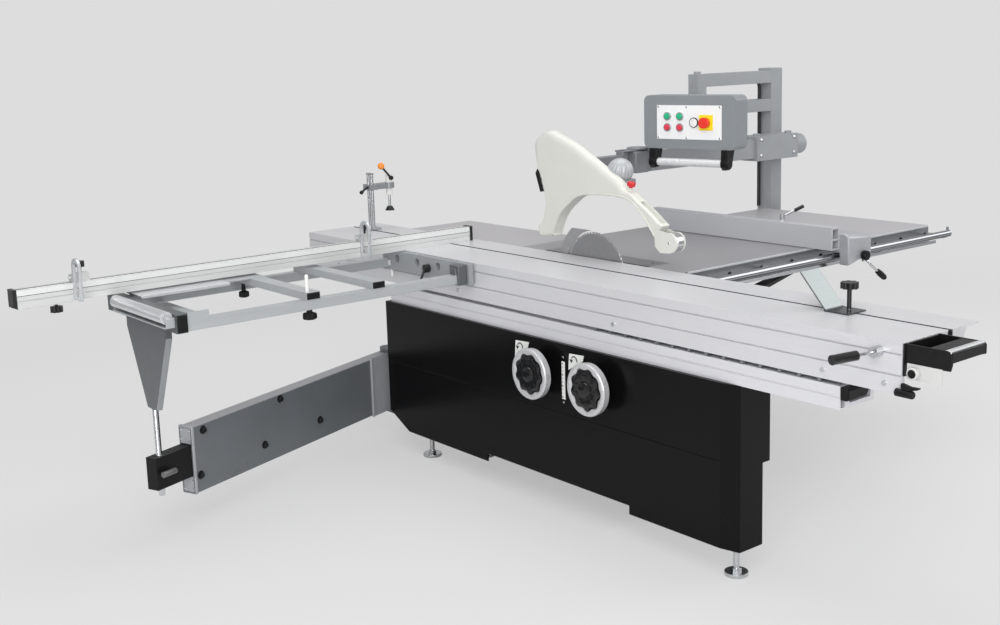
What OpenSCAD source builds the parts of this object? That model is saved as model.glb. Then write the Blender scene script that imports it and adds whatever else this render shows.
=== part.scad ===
// Sliding table saw: long sliding table beside the blade, crosscut table on a
// swing arm, overhead guard on a column, rip fence on a round bar.
// X runs from the sliding table to the rip fence, Y is the feed direction, Z is up.

/* [Whole machine] */
// height of the table top above the floor
table_z = 885; // [800:1:950]
// overrun of every cut past the face it opens
over = 2; // [1:0.5:4]
// clearance between curved faces that pass one another
pass_gap = 0.3; // [0.2:0.05:0.6]
// radial running fit of shafts in bores
run_fit = 0.05; // [0.02:0.01:0.1]

/* [Sliding table] */
// length of the sliding table
slider_len = 3200; // [2000:10:3800]
// near end of the sliding table along Y
slider_near = -1664; // [-2000:1:-1000]
// width of the sliding table
slider_w = 388; // [300:1:450]
// edge of the sliding table beside the blade
slider_edge = -8; // [-20:0.5:-5]
// depth of the deck of the sliding table
deck_t = 40; // [30:1:60]
// depth of the whole section with its skirts
slider_h = 150; // [100:1:200]
// thickness of a skirt
skirt_t = 14; // [8:0.5:24]
// distance of the inner skirt from the outer side
inner_skirt = 184; // [150:1:220]
// thickness of the lip beside the blade
lip_t = 4; // [3:0.5:8]
// width of the thin lip beside the blade
lip_w = 62; // [50:1:80]
// width of the mouth of the table slot
slot_mouth = 14; // [8:0.5:20]
// depth of the mouth of the table slot
slot_depth = 9; // [6:0.5:14]
// width of the undercut of the table slot
slot_under = 26; // [16:0.5:36]
// depth of the undercut of the table slot
slot_under_d = 10; // [6:0.5:14]
// distance of the table slot from the blade edge
slot_in = 150; // [80:1:200]
// wall left round the hollow cells of an extrusion
cell_wall = 7; // [4:0.5:12]
// width of the grooves along the outer side
groove_w = 5; // [3:0.5:10]
// depth of the grooves along the outer side
groove_d = 4; // [2:0.5:6]
// drop of the upper side groove below the top
groove_hi = 36; // [20:1:60]
// drop of the lower side groove below the top
groove_lo = 97; // [70:1:120]
// diameter of a skirt bolt head
bolt_d = 14; // [8:0.5:24]
// height of a skirt bolt head
bolt_h = 5; // [3:0.5:8]
// drop of the skirt bolts below the top
bolt_drop = 123; // [100:1:140]

/* [Base rail] */
// near end of the base rail along Y
rail_near = -1460; // [-1600:1:-1200]
// far end of the base rail along Y
rail_far = 868; // [600:1:1200]
// depth of the foot of the rail
rail_foot_h = 72; // [50:1:90]
// width of the foot of the rail
rail_foot_w = 166; // [160:1:220]
// wall of the rail
rail_wall = 14; // [8:0.5:20]
// room for the rollers between rail and skirt
roller_room = 20; // [14:0.5:28]
// thickness of the roller cage strip
cage_t = 3; // [2:0.5:5]
// height of the roller cage strip
cage_h = 74; // [40:1:90]
// length of the roller cage
cage_len = 1040; // [600:10:1400]
// near end of the roller cage along Y
cage_near = -1450; // [-1600:1:-1000]
// number of rollers in each strip
cage_n = 14; // [6:1:24]
// length of a roller
cage_roller_h = 40; // [16:1:60]

/* [Base frame] */
// outer face of the frame on the sliding side
frame_out = -412; // [-450:1:-380]
// width of the frame under the rail
frame_w = 162; // [120:1:220]
// near end of the frame
frame_near = -1085; // [-1200:1:-900]
// far end of the frame
frame_far = 890; // [700:1:1000]
// height of the frame top above the floor
frame_top = 650; // [580:1:720]
// height of the frame skirt above the floor
frame_low = 93; // [60:1:140]
// height of the raised middle of the skirt
frame_mid_low = 125; // [100:1:180]
// near end of the raised middle
mid_near = -595; // [-700:1:-400]
// far end of the raised middle
mid_far = 204; // [100:1:400]
// sheet thickness of the frame
sheet = 5; // [3:0.5:8]
// inset of the near corner fold
fold_in = 16; // [8:1:40]
// length of the near corner fold
fold_len = 72; // [30:1:120]
// start of the rising far skirt
rise_start = 748; // [650:1:820]
// height of the rising far skirt at its end
rise_z = 165; // [120:1:220]
// inset of the lower end face
end_step = 35; // [10:1:60]
// height of the step in the end face
end_step_z = 372; // [250:1:450]
// height of the fold line along the outer face
seam_z = 388; // [300:1:450]
// width and depth of that fold line
seam_w = 3; // [2:0.5:6]
// thickness of the foot plates
foot_plate = 12; // [8:1:20]
// length of the foot plates
foot_plate_len = 90; // [60:1:140]

/* [Saw body] */
// right face of the saw body
body_right = 380; // [300:1:500]
// half length of the saw body
body_half = 540; // [500:1:700]
// height of the underside of the saw body
body_low = 110; // [80:1:160]
// half length of the opening under the table
well_half = 420; // [380:1:500]
// left side of the opening under the table
well_left = -235; // [-245:1:-200]
// left side of the table pedestal
ped_left = 40; // [20:1:80]
// half length of the table pedestal
ped_half = 435; // [425:1:470]
// diameter of a foot stem
foot_stem = 20; // [12:0.5:30]
// diameter of a foot base
foot_base = 78; // [50:1:110]
// height of a foot base
foot_base_h = 12; // [8:0.5:24]
// diameter of a foot nut
foot_nut = 34; // [24:1:50]
// height of a foot nut
foot_nut_h = 12; // [8:0.5:20]
// distance of the frame feet from the outer face
foot_in = 46; // [30:1:90]
// distance of the near frame foot from the near end
foot_near_in = 40; // [20:1:100]
// position of the far frame foot along Y
foot_far = 650; // [500:1:720]
// distance of the body feet from the body faces
foot_body_in = 50; // [30:1:100]

/* [Tables] */
// gap between the sliding table and the saw table
table_gap = 2; // [1:0.5:4]
// near edge of the saw table
table_near = -475; // [-560:1:-400]
// far edge of the saw table
table_far = 442; // [400:1:520]
// right edge of the saw table
table_right = 770; // [700:1:900]
// depth of the table rim
table_rim = 45; // [35:1:60]
// thickness of the table plate
table_plate = 14; // [10:0.5:20]
// width of the table rim and ribs
table_rib = 16; // [10:0.5:30]
// width of the blade slot on the saw table side of the blade
slot_right = 6; // [5:0.5:10]
// near end of the blade slot
slot_near = -300; // [-340:1:-260]
// far end of the blade slot
slot_far = 300; // [260:1:340]
// width of the table insert
insert_w = 104; // [80:1:140]
// thickness of the table insert
insert_t = 10; // [6:0.5:14]
// ledge under the table insert
insert_ledge = 8; // [5:0.5:14]
// width of the outfeed table
rear_w = 340; // [250:1:450]
// far edge of the outfeed table
rear_far = 1253; // [1000:1:1400]
// thickness of the sheet tables with their rims
rear_rim = 34; // [20:1:50]
// sheet thickness of the outfeed and right tables
rear_sheet = 4; // [2:0.5:8]
// right edge of the right table
right_edge = 1572; // [1400:1:1700]
// height of the support beams
beam_h = 60; // [40:1:90]
// width of the support beams
beam_w = 50; // [30:1:80]
// position of the near support beam
beam_near = -320; // [-380:1:-260]
// position of the far support beam
beam_far = 330; // [260:1:380]

/* [Blade unit] */
// diameter of the saw blade
blade_d = 330; // [250:1:400]
// plate thickness of the saw blade
blade_t = 2.4; // [1.8:0.1:3.2]
// rise of the blade above the table
blade_rise = 104; // [60:1:110]
// number of blade teeth
blade_teeth = 60; // [24:2:96]
// depth of a tooth gullet
tooth_d = 9; // [5:0.5:14]
// diameter of the blade arbor
arbor_d = 30; // [20:0.5:40]
// diameter of the blade flange
flange_d = 74; // [50:1:90]
// thickness of the outer blade flange
flange_t = 6; // [4:0.5:8]
// diameter of the scoring blade
score_d = 120; // [100:1:140]
// distance of the scoring arbor before the main arbor
score_y = 236; // [220:1:260]
// depth of the scoring blade below the table
score_drop = 1; // [0.5:0.5:6]
// gap between blade and riving knife
knife_gap = 5; // [3:0.5:8]
// width of the riving knife
knife_w = 46; // [30:1:60]
// thickness of the riving knife
knife_t = 2.6; // [2:0.1:3]
// half distance between the trunnion plates
trunnion_half = 350; // [330:1:380]
// thickness of a trunnion plate
trunnion_t = 14; // [10:0.5:20]
// radius of the tilt slot
tilt_r = 215; // [190:1:250]
// diameter of the tilt pins
tilt_pin = 18; // [12:0.5:24]
// tilt of the blade in degrees
tilt_max = 45; // [30:1:46]
// gap between tilt frame and trunnion plates
tilt_gap = 2; // [1:0.5:4]
// thickness of the tilt frame plates
tilt_plate = 12; // [8:0.5:18]
// diameter of the raise columns
raise_rod = 28; // [20:0.5:40]
// distance of the raise columns behind the blade plane
raise_x = 70; // [60:1:74]
// half distance of the raise columns along Y
raise_half = 255; // [240:1:264]
// depth of the tilt frame foot below the table
tilt_foot = 390; // [360:1:430]
// depth of the tilt frame crossbar below the table
tilt_low = 423; // [400:1:440]
// depth of the tilt frame head below the table
tilt_head = 62; // [55:1:80]
// height of the arbor carriage
carriage_h = 96; // [70:1:110]
// diameter of the motor
motor_d = 176; // [140:1:200]
// length of the motor
motor_len = 250; // [200:1:300]
// drop of the motor axis below the arbor
motor_drop = 158; // [130:1:180]
// thickness of the motor cooling fins
motor_fin = 4; // [3:0.5:8]
// number of cooling fins
motor_fins = 9; // [5:1:14]
// thickness of the drive belt
belt_t = 6; // [4:0.5:10]

/* [Handwheels] */
// diameter of a handwheel
wheel_d = 206; // [160:1:250]
// diameter of the rim section
wheel_rim = 22; // [14:0.5:32]
// distance of the rim from the frame face
wheel_off = 58; // [40:1:90]
// diameter of the lobed hub
hub_d = 118; // [80:1:150]
// height of the lobed hub
hub_h = 34; // [20:1:50]
// diameter of one hub lobe
hub_lobe = 30; // [20:1:40]
// number of hub lobes
hub_lobes = 8; // [5:1:10]
// number of spokes
spokes = 3; // [3:1:6]
// width of a spoke
spoke_w = 20; // [12:1:30]
// diameter of the wheel shaft
wheel_shaft = 22; // [16:0.5:30]
// height of the wheel axes
wheel_z = 530; // [450:1:600]
// position of the raise wheel along Y
wheel_a_y = -148; // [-250:1:0]
// position of the tilt wheel along Y
wheel_b_y = -455; // [-560:1:-350]
// diameter of the wheel bearing collar
collar_d = 46; // [36:1:60]
// length of the wheel bearing collar
collar_l = 14; // [8:1:24]

/* [Crosscut table] */
// outer end of the crosscut table frame
cross_out = -1640; // [-1900:1:-1300]
// near side of the crosscut table frame
cross_near = 289; // [200:1:400]
// far side of the crosscut table frame
cross_far = 872; // [700:1:1000]
// width of the frame tubes
cross_tube = 40; // [25:1:60]
// height of the frame tubes
cross_tube_h = 36; // [25:1:60]
// drop of the frame tubes below the table top
cross_drop = 40; // [20:1:60]
// wall of the frame tubes
tube_wall = 3; // [2:0.5:5]
// height of the outer end tube
end_tube_h = 64; // [40:1:90]
// height of the upper bars under the fence
bar_h = 28; // [16:1:40]
// width of the upper bars
bar_w = 56; // [30:1:90]
// positions of the upper bars along X
bar_x = [-1142, -862];
// thickness of the flat ledges
ledge_t = 5; // [3:0.5:8]
// thickness of the clamp plate beside the sliding table
clamp_t = 30; // [20:1:50]
// height of the clamp plate
clamp_h = 84; // [60:1:110]
// diameter of the crosscut roller
croller_d = 44; // [30:1:60]
// length of the crosscut roller
croller_len = 425; // [300:1:520]
// near end of the crosscut roller
croller_near = 305; // [280:1:400]
// diameter of the roller axle
croller_axle = 12; // [8:0.5:16]
// distance of the roller from the end tube
croller_off = 4; // [2:0.5:10]
// thickness of the roller bracket
croller_plate = 6; // [4:0.5:10]
// width of the leg at its top
leg_top = 330; // [250:1:450]
// width of the leg at its foot
leg_foot = 74; // [50:1:120]
// height of the leg
leg_h = 318; // [250:1:380]
// thickness of the leg
leg_t = 24; // [20:1:60]
// middle of the leg along Y
leg_y = 552; // [450:1:650]
// width of the leg flanges
leg_rib = 10; // [6:0.5:16]

/* [Crosscut fence] */
// front face of the crosscut fence along Y
fence_y = 741; // [650:1:850]
// outer end of the crosscut fence
fence_out = -2006; // [-2300:1:-1600]
// inner end of the crosscut fence
fence_in = -56; // [-150:1:-20]
// depth of the fence section
fence_d = 46; // [30:1:60]
// height of the fence section
fence_h = 62; // [45:1:90]
// width of the fence grooves
fence_slot = 12; // [8:0.5:18]
// depth of the fence grooves
fence_slot_d = 10; // [6:0.5:14]
// thickness of the fence end plates
fence_cap = 14; // [6:0.5:20]
// diameter of the fence pivot
pivot_d = 12; // [8:0.5:14]
// depth of the fence pivot head in the table slot
pivot_head = 6; // [4:0.5:8]
// positions of the two flip stops along X
stop_x = [-1800, -610];
// length of a stop block
stop_block = 56; // [40:1:80]
// height of a stop block
stop_block_h = 30; // [20:1:45]
// thickness of a stop plate
stop_t = 10; // [6:0.5:14]
// width of a stop plate
stop_w = 66; // [45:1:90]
// height of a stop plate
stop_h = 148; // [100:1:180]
// width of the loop bar of a stop plate
stop_bar = 13; // [8:0.5:20]
// diameter of a stop pin
stop_pin = 12; // [8:0.5:16]
// diameter of the small knobs
knob_d = 34; // [24:1:50]
// height of the small knobs
knob_h = 20; // [12:1:30]
// diameter of a knob stud
stud_d = 10; // [6:0.5:14]
// length of the fence foot plate
sole_len = 190; // [120:1:260]
// width of the fence foot plate
sole_w = 60; // [40:1:80]

/* [Hold down] */
// distance of the hold down clamp from the far end of the sliding table
hold_in = 175; // [120:1:400]
// height of the hold down posts
hold_h = 262; // [180:1:320]
// diameter of a hold down post
hold_post = 14; // [10:0.5:20]
// distance between the two posts
hold_pitch = 30; // [24:1:44]
// width of the hold down base
hold_base = 62; // [50:1:90]
// thickness of the hold down base
hold_base_t = 12; // [8:0.5:18]
// length of the hold down arm
hold_arm = 104; // [90:1:160]
// height of the hold down arm
hold_arm_h = 26; // [18:1:40]
// width of the hold down arm
hold_arm_w = 38; // [30:1:60]
// height of the arm above the table
hold_arm_z = 190; // [120:1:220]
// diameter of the plunger body
plunger_d = 30; // [22:1:40]
// length of the plunger body
plunger_h = 96; // [70:1:120]
// diameter of the plunger rod
plunger_rod = 12; // [8:0.5:18]
// diameter of the plunger foot
plunger_foot = 46; // [30:1:60]
// diameter of the lever ball
ball_d = 32; // [24:1:46]
// length of the lever rod
lever_len = 80; // [50:1:110]

/* [Swing arm] */
// position of the arm pivot beside the frame along X
arm_x = -312; // [-360:1:-280]
// distance of the arm pivot behind the frame
arm_back = 152; // [120:1:200]
// height of the lower edge of the arm
arm_low = 134; // [120:1:220]
// height of the arm section
arm_h = 252; // [160:1:280]
// thickness of the arm section
arm_t = 60; // [40:1:80]
// length of the arm from its pivot
arm_len = 1270; // [900:1:1400]
// wall of the arm section
arm_wall = 5; // [3:0.5:8]
// diameter of the arm hinge barrel
barrel_d = 72; // [60:1:90]
// diameter of the arm hinge pin
hinge_pin = 32; // [20:0.5:40]
// thickness of a hinge bracket
bracket_t = 18; // [12:1:30]
// diameter of the post
post_d = 22; // [16:0.5:30]
// lower end of the post above the floor
post_low = 170; // [90:1:180]
// gap between post and leg
post_gap = 0.2; // [0.1:0.1:1]
// height of the extension section
ext_h = 118; // [90:1:200]
// length of the extension inside the arm
ext_in = 420; // [200:1:600]
// length of the extension beyond the post
ext_out = 40; // [30:1:70]

/* [Rip fence] */
// distance of the guide bar before the saw table
bar_off = 88; // [60:1:120]
// height of the guide bar below the table top
bar_drop = 32; // [20:1:60]
// diameter of the guide bar
guide_d = 30; // [20:0.5:40]
// left end of the guide bar
guide_left = 60; // [0:1:200]
// right end of the guide bar
guide_right = 1603; // [1500:1:1750]
// height of the angle rail
angle_h = 70; // [50:1:90]
// thickness of the angle rail
angle_t = 6; // [4:0.5:10]
// width of the angle rail shelf
angle_w = 44; // [30:1:55]
// positions of the bar brackets along X
guide_post_x = [120, 440, 1180, 1560];
// width of a bar bracket
guide_post_w = 34; // [24:1:50]
// face of the rip fence beside the work
rip_x = 724; // [200:1:1200]
// width of the rip fence section
rip_w = 50; // [35:1:70]
// height of the rip fence section
rip_h = 90; // [60:1:120]
// gap under the rip fence
rip_gap = 2; // [1:0.5:4]
// near end of the rip fence
rip_near = -592; // [-640:1:-540]
// far end of the rip fence
rip_far = 408; // [300:1:440]
// length of the rip fence carrier along X
carrier_l = 150; // [110:1:200]
// depth of the carrier along Y
carrier_d = 150; // [110:1:190]
// height of the carrier above the bar axis
carrier_h = 96; // [70:1:120]
// wall of the carrier under the bar
carrier_low = 42; // [30:1:60]
// diameter of the grip of a lever
grip_d = 22; // [14:1:30]
// length of the grip of a lever
grip_l = 60; // [40:1:120]

/* [Column] */
// left face of the column
col_x = 1638; // [1590:1:1650]
// front face of the column
col_y = 462; // [450:1:520]
// width of the column tube
col_w = 84; // [60:1:110]
// top of the column above the floor
col_top = 1574; // [1400:1:1700]
// lower end of the column above the floor
col_low = 640; // [560:1:760]
// length of the upper arm
uparm_l = 535; // [450:1:700]
// height of the upper arm
uparm_h = 60; // [40:1:90]
// width of the upper arm
uparm_w = 60; // [40:1:80]
// drop of the upper arm below the column top
uparm_drop = 12; // [5:1:40]
// length of the middle arm
midarm_l = 300; // [200:1:400]
// drop of the middle arm below the column top
midarm_drop = 150; // [120:1:220]
// diameter of the conduit
conduit_d = 18; // [12:1:26]
// bend radius of the conduit
conduit_r = 60; // [40:1:90]

/* [Guard arm] */
// left end of the guard arm
gboom_left = 590; // [450:1:800]
// front face of the guard arm sleeve
gboom_y = 346; // [320:1:380]
// length of the sleeve
sleeve_l = 306; // [240:1:380]
// right end of the sleeve
sleeve_right = 1702; // [1650:1:1760]
// height of the sleeve
sleeve_h = 118; // [90:1:150]
// middle height of the guard arm
gboom_z = 1196; // [1100:1:1300]
// wall between sleeve and arm
sleeve_wall = 14; // [8:1:20]
// diameter of the dust collar
dust_d = 100; // [80:1:125]
// wall of the dust collar
dust_wall = 3; // [2:0.5:5]
// length of the dust collar
dust_l = 82; // [50:1:110]
// width of the guard link
glink_w = 50; // [40:1:90]
// underside of the guard link above the floor
glink_z = 1264; // [1240:1:1290]
// height of the guard link
glink_h = 44; // [30:1:60]
// diameter of the link pivot disc
gdisc_d = 110; // [90:1:140]
// diameter of the link pivot pin
gpin_d = 30; // [20:1:40]

/* [Guard] */
// outline of the guard along Y
guard_oy = [330, 322, 290, 218, 128, 50, -12, -62, -205, -335, -385, -430, -450, -445, -410, -382, -356,
    -352, -284, -192, 32, 122, 184, 217, 219, 302, 310, 277, 259, 267, 310];
// outline of the guard above the floor
guard_oz = [1300, 1340, 1366, 1385, 1384, 1370, 1334, 1303, 1175, 1096, 1054, 1030, 1005, 973, 953, 950, 971,
    1008, 1087, 1140, 1135, 1092, 1036, 972, 956, 953, 984, 1018, 1081, 1132, 1231];
// width of the guard
guard_w = 56; // [50:1:110]
// wall of the guard
guard_wall = 5; // [3:0.5:8]
// diameter of the guard hinge pin
ghinge_d = 16; // [10:1:24]
// diameter of the hinge boss
ghinge_boss_d = 40; // [30:1:50]
// length of the hinge boss
ghinge_boss = 25; // [20:1:40]
// diameter of the guard nose roller
groller_d = 44; // [30:1:60]
// width of the guard nose roller
groller_w = 34; // [20:1:60]
// middle of the dust port along Y
port_y = -149; // [-200:1:-100]
// middle of the dust port above the floor
port_z = 1250; // [1220:1:1280]
// diameter of the dust port on the guard
port_d = 100; // [80:1:130]

/* [Control panel] */
// width of the control panel
panel_w = 449; // [350:1:520]
// height of the control panel
panel_h = 230; // [180:1:280]
// depth of the control panel
panel_d = 104; // [80:1:130]
// radius of the rounded panel edges
panel_r = 26; // [10:1:40]
// angle of the panel face from the X direction
panel_angle = 77; // [40:0.5:90]
// middle of the panel face along X
panel_x = 672; // [600:1:800]
// middle of the panel face along Y
panel_y = 120; // [50:1:200]
// underside of the panel above the floor
panel_z = 1260; // [1200:1:1320]
// width of the white plate
plate_w = 316; // [250:1:360]
// height of the white plate
plate_h = 146; // [110:1:180]
// thickness of the white plate
plate_t = 2; // [1:0.5:4]
// diameter of a push button
button_d = 26; // [18:1:34]
// height of a push button above its ring
button_h = 9; // [5:0.5:14]
// travel of a push button
button_travel = 5; // [3:0.5:7]
// diameter of a button ring
ring_d = 36; // [28:1:46]
// height of a button ring
ring_h = 6; // [3:0.5:9]
// positions of the buttons across the plate
button_u = [-104, -42];
// heights of the buttons on the plate
button_v = [26, -22];
// position of the selector across the plate
selector_u = 26; // [0:1:50]
// position of the stop button across the plate
estop_u = 84; // [60:1:110]
// diameter of the stop button
estop_d = 46; // [34:1:60]
// size of the yellow stop plate
estop_plate = 66; // [50:1:80]
// drop of the handle below the panel
handle_drop = 84; // [60:1:110]
// width of the handle brackets
handle_w = 40; // [25:1:60]
// diameter of the handle bar
handle_d = 26; // [18:1:34]
// distance of the handle brackets from the panel ends
handle_in = 48; // [30:1:80]
// thickness of the panel link
plink_t = 10; // [6:0.5:16]

/* [Sliding table fittings] */
// length of the end box
ebox_l = 150; // [100:1:180]
// height of the end box
ebox_h = 62; // [50:1:90]
// width of the end box
ebox_w = 172; // [120:1:260]
// height of the front of the end box
ebox_front = 35; // [25:1:50]
// wall of the end box
ebox_wall = 6; // [4:0.5:10]
// inset of the end box from the sides of the sliding table
ebox_in = 10; // [5:1:30]
// diameter of the end roller
eroller_d = 34; // [25:1:60]
// width of the end roller
eroller_w = 18; // [12:1:30]
// position of the edging shoe along Y
shoe_y = -1345; // [-1500:1:-1000]
// length of the edging shoe plate
shoe_l = 150; // [80:1:160]
// width of the edging shoe plate
shoe_w = 90; // [60:1:110]
// thickness of the edging shoe plate
shoe_t = 5; // [3:0.5:8]
// lean of the edging shoe plate
shoe_lean = 48; // [30:1:60]
// height of the edging shoe post
shoe_post_h = 70; // [50:1:100]
// position of the push handle along Y
push_y = -1590; // [-1640:1:-1400]
// length of the push handle rod
push_rod = 75; // [50:1:160]
// length of the push handle grip
push_grip = 92; // [70:1:150]

/* [Hidden] */
$fn = 48;
slider_far = slider_near + slider_len;
slider_left = slider_edge - slider_w;
slot_x = slider_edge - slot_in;
deck_low = table_z - deck_t;
skirt_low = table_z - slider_h;
in_skirt_l = slider_left + inner_skirt;
in_skirt_r = in_skirt_l + skirt_t;
rail_up_l = slider_left + skirt_t + roller_room;
rail_up_r = in_skirt_l - roller_room;
rail_foot_z = frame_top + rail_foot_h;
rail_up_z = table_z - ebox_h - 2 * over;
frame_in = frame_out + frame_w;
table_left = slider_edge + table_gap;
rim_low = table_z - table_rim;
well_right = body_right - 2 * sheet;
arbor_z = table_z + blade_rise - blade_d / 2;
rip_bar_y = table_near - bar_off;
rip_bar_z = table_z - bar_drop;
carrier_x = rip_x + rip_w;
arm_y = frame_far + arm_back;
hold_x = slot_x;
hold_y = slider_far - hold_in;
uparm_z = col_top - uparm_drop - uparm_h;
uparm_end = col_x - uparm_l;
midarm_z = col_top - midarm_drop - uparm_h;
panel_pin = [uparm_end + uparm_w / 2, col_y + uparm_w / 2];
sleeve_d = col_y - gboom_y;
gboom_arm_h = sleeve_h - 2 * sleeve_wall;
gboom_arm_y = gboom_y + sleeve_wall;
gboom_arm_d = sleeve_d - 2 * sleeve_wall;
groller_y = guard_oy[12] + groller_d / 2 + over;
groller_z = (guard_oz[11] + guard_oz[14]) / 2;
ghinge_y = (guard_oy[7] + guard_oy[8]) / 2;
ghinge_z = (guard_oz[7] + guard_oz[8] + 2 * guard_oz[19]) / 4;
gpin = [gboom_left + gdisc_d / 2, gboom_arm_y + gboom_arm_d / 2];
guard_pts = [for (i = [0 : len(guard_oy) - 1]) [guard_oy[i], guard_oz[i]]];
guard_mouth = concat([for (i = [17 : 23]) [guard_oy[i], guard_oz[i] + 5 * guard_wall]],
    [[guard_oy[23] - over, guard_oz[15]], [guard_oy[17], guard_oz[15]]]);
ext_th = arm_t - 2 * arm_wall - 2 * pass_gap;
star_core_share = 0.76;
star_reach_share = 0.36;
star_lobe_share = 0.28;
brace_share = 0.42;
brace_drop_share = 0.8;
brace_x = body_right + brace_share * (right_edge - body_right);
brace_z = rim_low - brace_drop_share * (rim_low - frame_top);
tilt_slot_from = 44;
tilt_slot_spread = 48;
tilt_pin_a = 94;
tilt_pin_b = 128;
hub_share = 0.66;
arbor_from = 2 * flange_t;
arbor_l = raise_x + raise_rod / 2;
score_l = raise_x - raise_rod / 2 - over;
tilt_pins = [for (a = [tilt_pin_a, tilt_pin_b]) [-tilt_r * cos(a), table_z - tilt_r * sin(a)]];
score_hub = flange_d * hub_share;
score_bore = arbor_d * hub_share;
arbor_score = table_z - score_drop - score_d / 2 - arbor_z;
motor_bell_share = 0.2;
motor_pitch_share = 0.08;
tooth_land_share = 0.3;
knife_top = blade_d / 2 + knife_gap;
knife_top_share = 0.13;
cage_mid_share = 0.5;
cage_low_share = 0.9;
slider_bolt_shares = [0.017, 0.083, 0.36, 0.64, 0.92];
push_turn = -10;
grip_share = 1.3;
cross_in = slider_left - clamp_t;
cross_z = table_z - cross_drop - cross_tube_h;
leg_low = cross_z - leg_h;
leg_mid = cross_out + over + leg_t / 2;
arm_vec = [arm_x - leg_mid, arm_y - leg_y];
post_r = sqrt(arm_vec[0] * arm_vec[0] + arm_vec[1] * arm_vec[1]);
arm_angle = atan2(arm_vec[1], arm_vec[0]);
cross_top = cross_z + cross_tube_h;
croller_x = cross_out - croller_off - croller_d / 2;
croller_z = table_z - croller_d / 2 - over / 2;
clamp_lean = 25;
sole_knob_share = 0.72;
hold_turn = 42;
arm_bolt_shares = [[0.952, 0.905], [0.612, 0.925], [0.694, 0.294], [0.424, 0.317], [0.973, 0.25]];
rip_clamp_share = 0.55;
rip_lean = 66;
glink_end = [guard_w / 2 + pass_gap + ghinge_boss + glink_w / 2, ghinge_y];
glink_vec = [gpin[0] - glink_end[0], gpin[1] - glink_end[1]];
glink_len = sqrt(glink_vec[0] * glink_vec[0] + glink_vec[1] * glink_vec[1]);
panel_top_mid = [panel_x + panel_d / 2 * sin(panel_angle), panel_y + panel_d / 2 * cos(panel_angle)];
plink_vec = [panel_pin[0] - panel_top_mid[0], panel_pin[1] - panel_top_mid[1]];
plink_len = sqrt(plink_vec[0] * plink_vec[0] + plink_vec[1] * plink_vec[1]);
plink_low = panel_z + panel_h - 3 * plink_t;
plate_v = (panel_h - plate_h) / 2;
button_mid = panel_h / 2;
x_min = fence_out - fence_cap;
x_max = sleeve_right + dust_l;
y_min = slider_near - ebox_l;
shift = [-(x_min + x_max) / 2, -(y_min + slider_far) / 2, 0];

module put() {
    translate(shift) children();
}
module box(a, b) {
    translate(a) cube(b - a);
}
module along_y(a, b) {
    translate([0, b, 0]) rotate([90, 0, 0]) linear_extrude(b - a) children();
}
module along_x(a, b) {
    translate([a, 0, 0]) rotate([90, 0, 90]) linear_extrude(b - a) children();
}
module rod_x(d, l) {
    rotate([0, 90, 0]) cylinder(d = d, h = l);
}
module rod_y(d, l) {
    rotate([-90, 0, 0]) cylinder(d = d, h = l);
}
module hex(d, h) {
    linear_extrude(h) circle(d = d, $fn = 6);
}
// star knob: a round core with lobes, standing on its stud
module star(d, h, n) {
    cylinder(d = d * star_core_share, h = h);
    for (i = [0 : n - 1])
        rotate([0, 0, i * 360 / n]) translate([d * star_reach_share, 0, 0])
            cylinder(d = d * star_lobe_share, h = h);
}

// frame under the sliding table
module frame_plan(g) {
    polygon([[frame_out + g, frame_far - g], [frame_in - g, frame_far - g], [frame_in - g, frame_near + g],
        [frame_out + fold_in + g, frame_near + g], [frame_out + g, frame_near + fold_len]]);
}
module frame_room() {
    difference() {
        translate([0, 0, frame_low + foot_plate]) linear_extrude(frame_top - sheet - frame_low - foot_plate)
            frame_plan(sheet);
        box([frame_in - end_step - sheet, frame_near, frame_low], [frame_in, -body_half,
            end_step_z + sheet]);
    }
    for (s = [[frame_near + foot_plate_len, foot_far - foot_plate_len / 2],
              [foot_far + foot_plate_len / 2, frame_far - sheet]])
        box([frame_out + sheet, s[0], frame_low - over],
            [frame_in - end_step - sheet, s[1], frame_low + foot_plate + over]);
}
module base_frame() {
    color("#1c1d1f") put() difference() {
        translate([0, 0, frame_low]) linear_extrude(frame_top - frame_low) frame_plan(0);
        frame_room();
        box([frame_out - over, mid_near, frame_low - over], [frame_in + over, mid_far, frame_mid_low]);
        along_x(frame_out - over, frame_in + over)
            polygon([[rise_start, frame_low - over], [frame_far + over, frame_low - over],
                [frame_far + over, rise_z]]);
        box([frame_in - end_step, frame_near - over, frame_low - over],
            [frame_in + over, -body_half - sheet, end_step_z]);
        box([frame_out - over, frame_near + fold_len, seam_z],
            [frame_out + sheet / 4, frame_far + over, seam_z + seam_w]);
        for (y = [wheel_a_y, wheel_b_y])
            translate([frame_out - over, y, wheel_z]) rod_x(wheel_shaft + 2 * run_fit, sheet + 2 * over);
    }
}
// body with the blade unit
module saw_body() {
    color("#232426") put() {
        difference() {
            box([frame_in, -body_half, body_low], [body_right, body_half, frame_top]);
            box([frame_in + sheet, -body_half + sheet, body_low + foot_plate],
                [body_right - sheet, body_half - sheet, frame_top - sheet]);
            box([well_left, -well_half, frame_top - sheet - over], [well_right, well_half,
                frame_top + over]);
            box([frame_in + foot_plate_len, -body_half + foot_plate_len, body_low - over],
                [body_right - foot_plate_len, body_half - foot_plate_len, body_low + foot_plate + over]);
        }
        difference() {
            box([ped_left, -ped_half, frame_top], [body_right, ped_half, rim_low]);
            box([ped_left - over, -ped_half + sheet, frame_top - over],
                [body_right - sheet, ped_half - sheet, rim_low + over]);
        }
    }
}
module foot(top) {
    cylinder(d = foot_base, h = foot_base_h);
    cylinder(d = foot_stem, h = top);
    translate([0, 0, foot_base_h]) hex(foot_nut, foot_nut_h);
    translate([0, 0, top - foot_nut_h]) hex(foot_nut, foot_nut_h);
}
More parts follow.
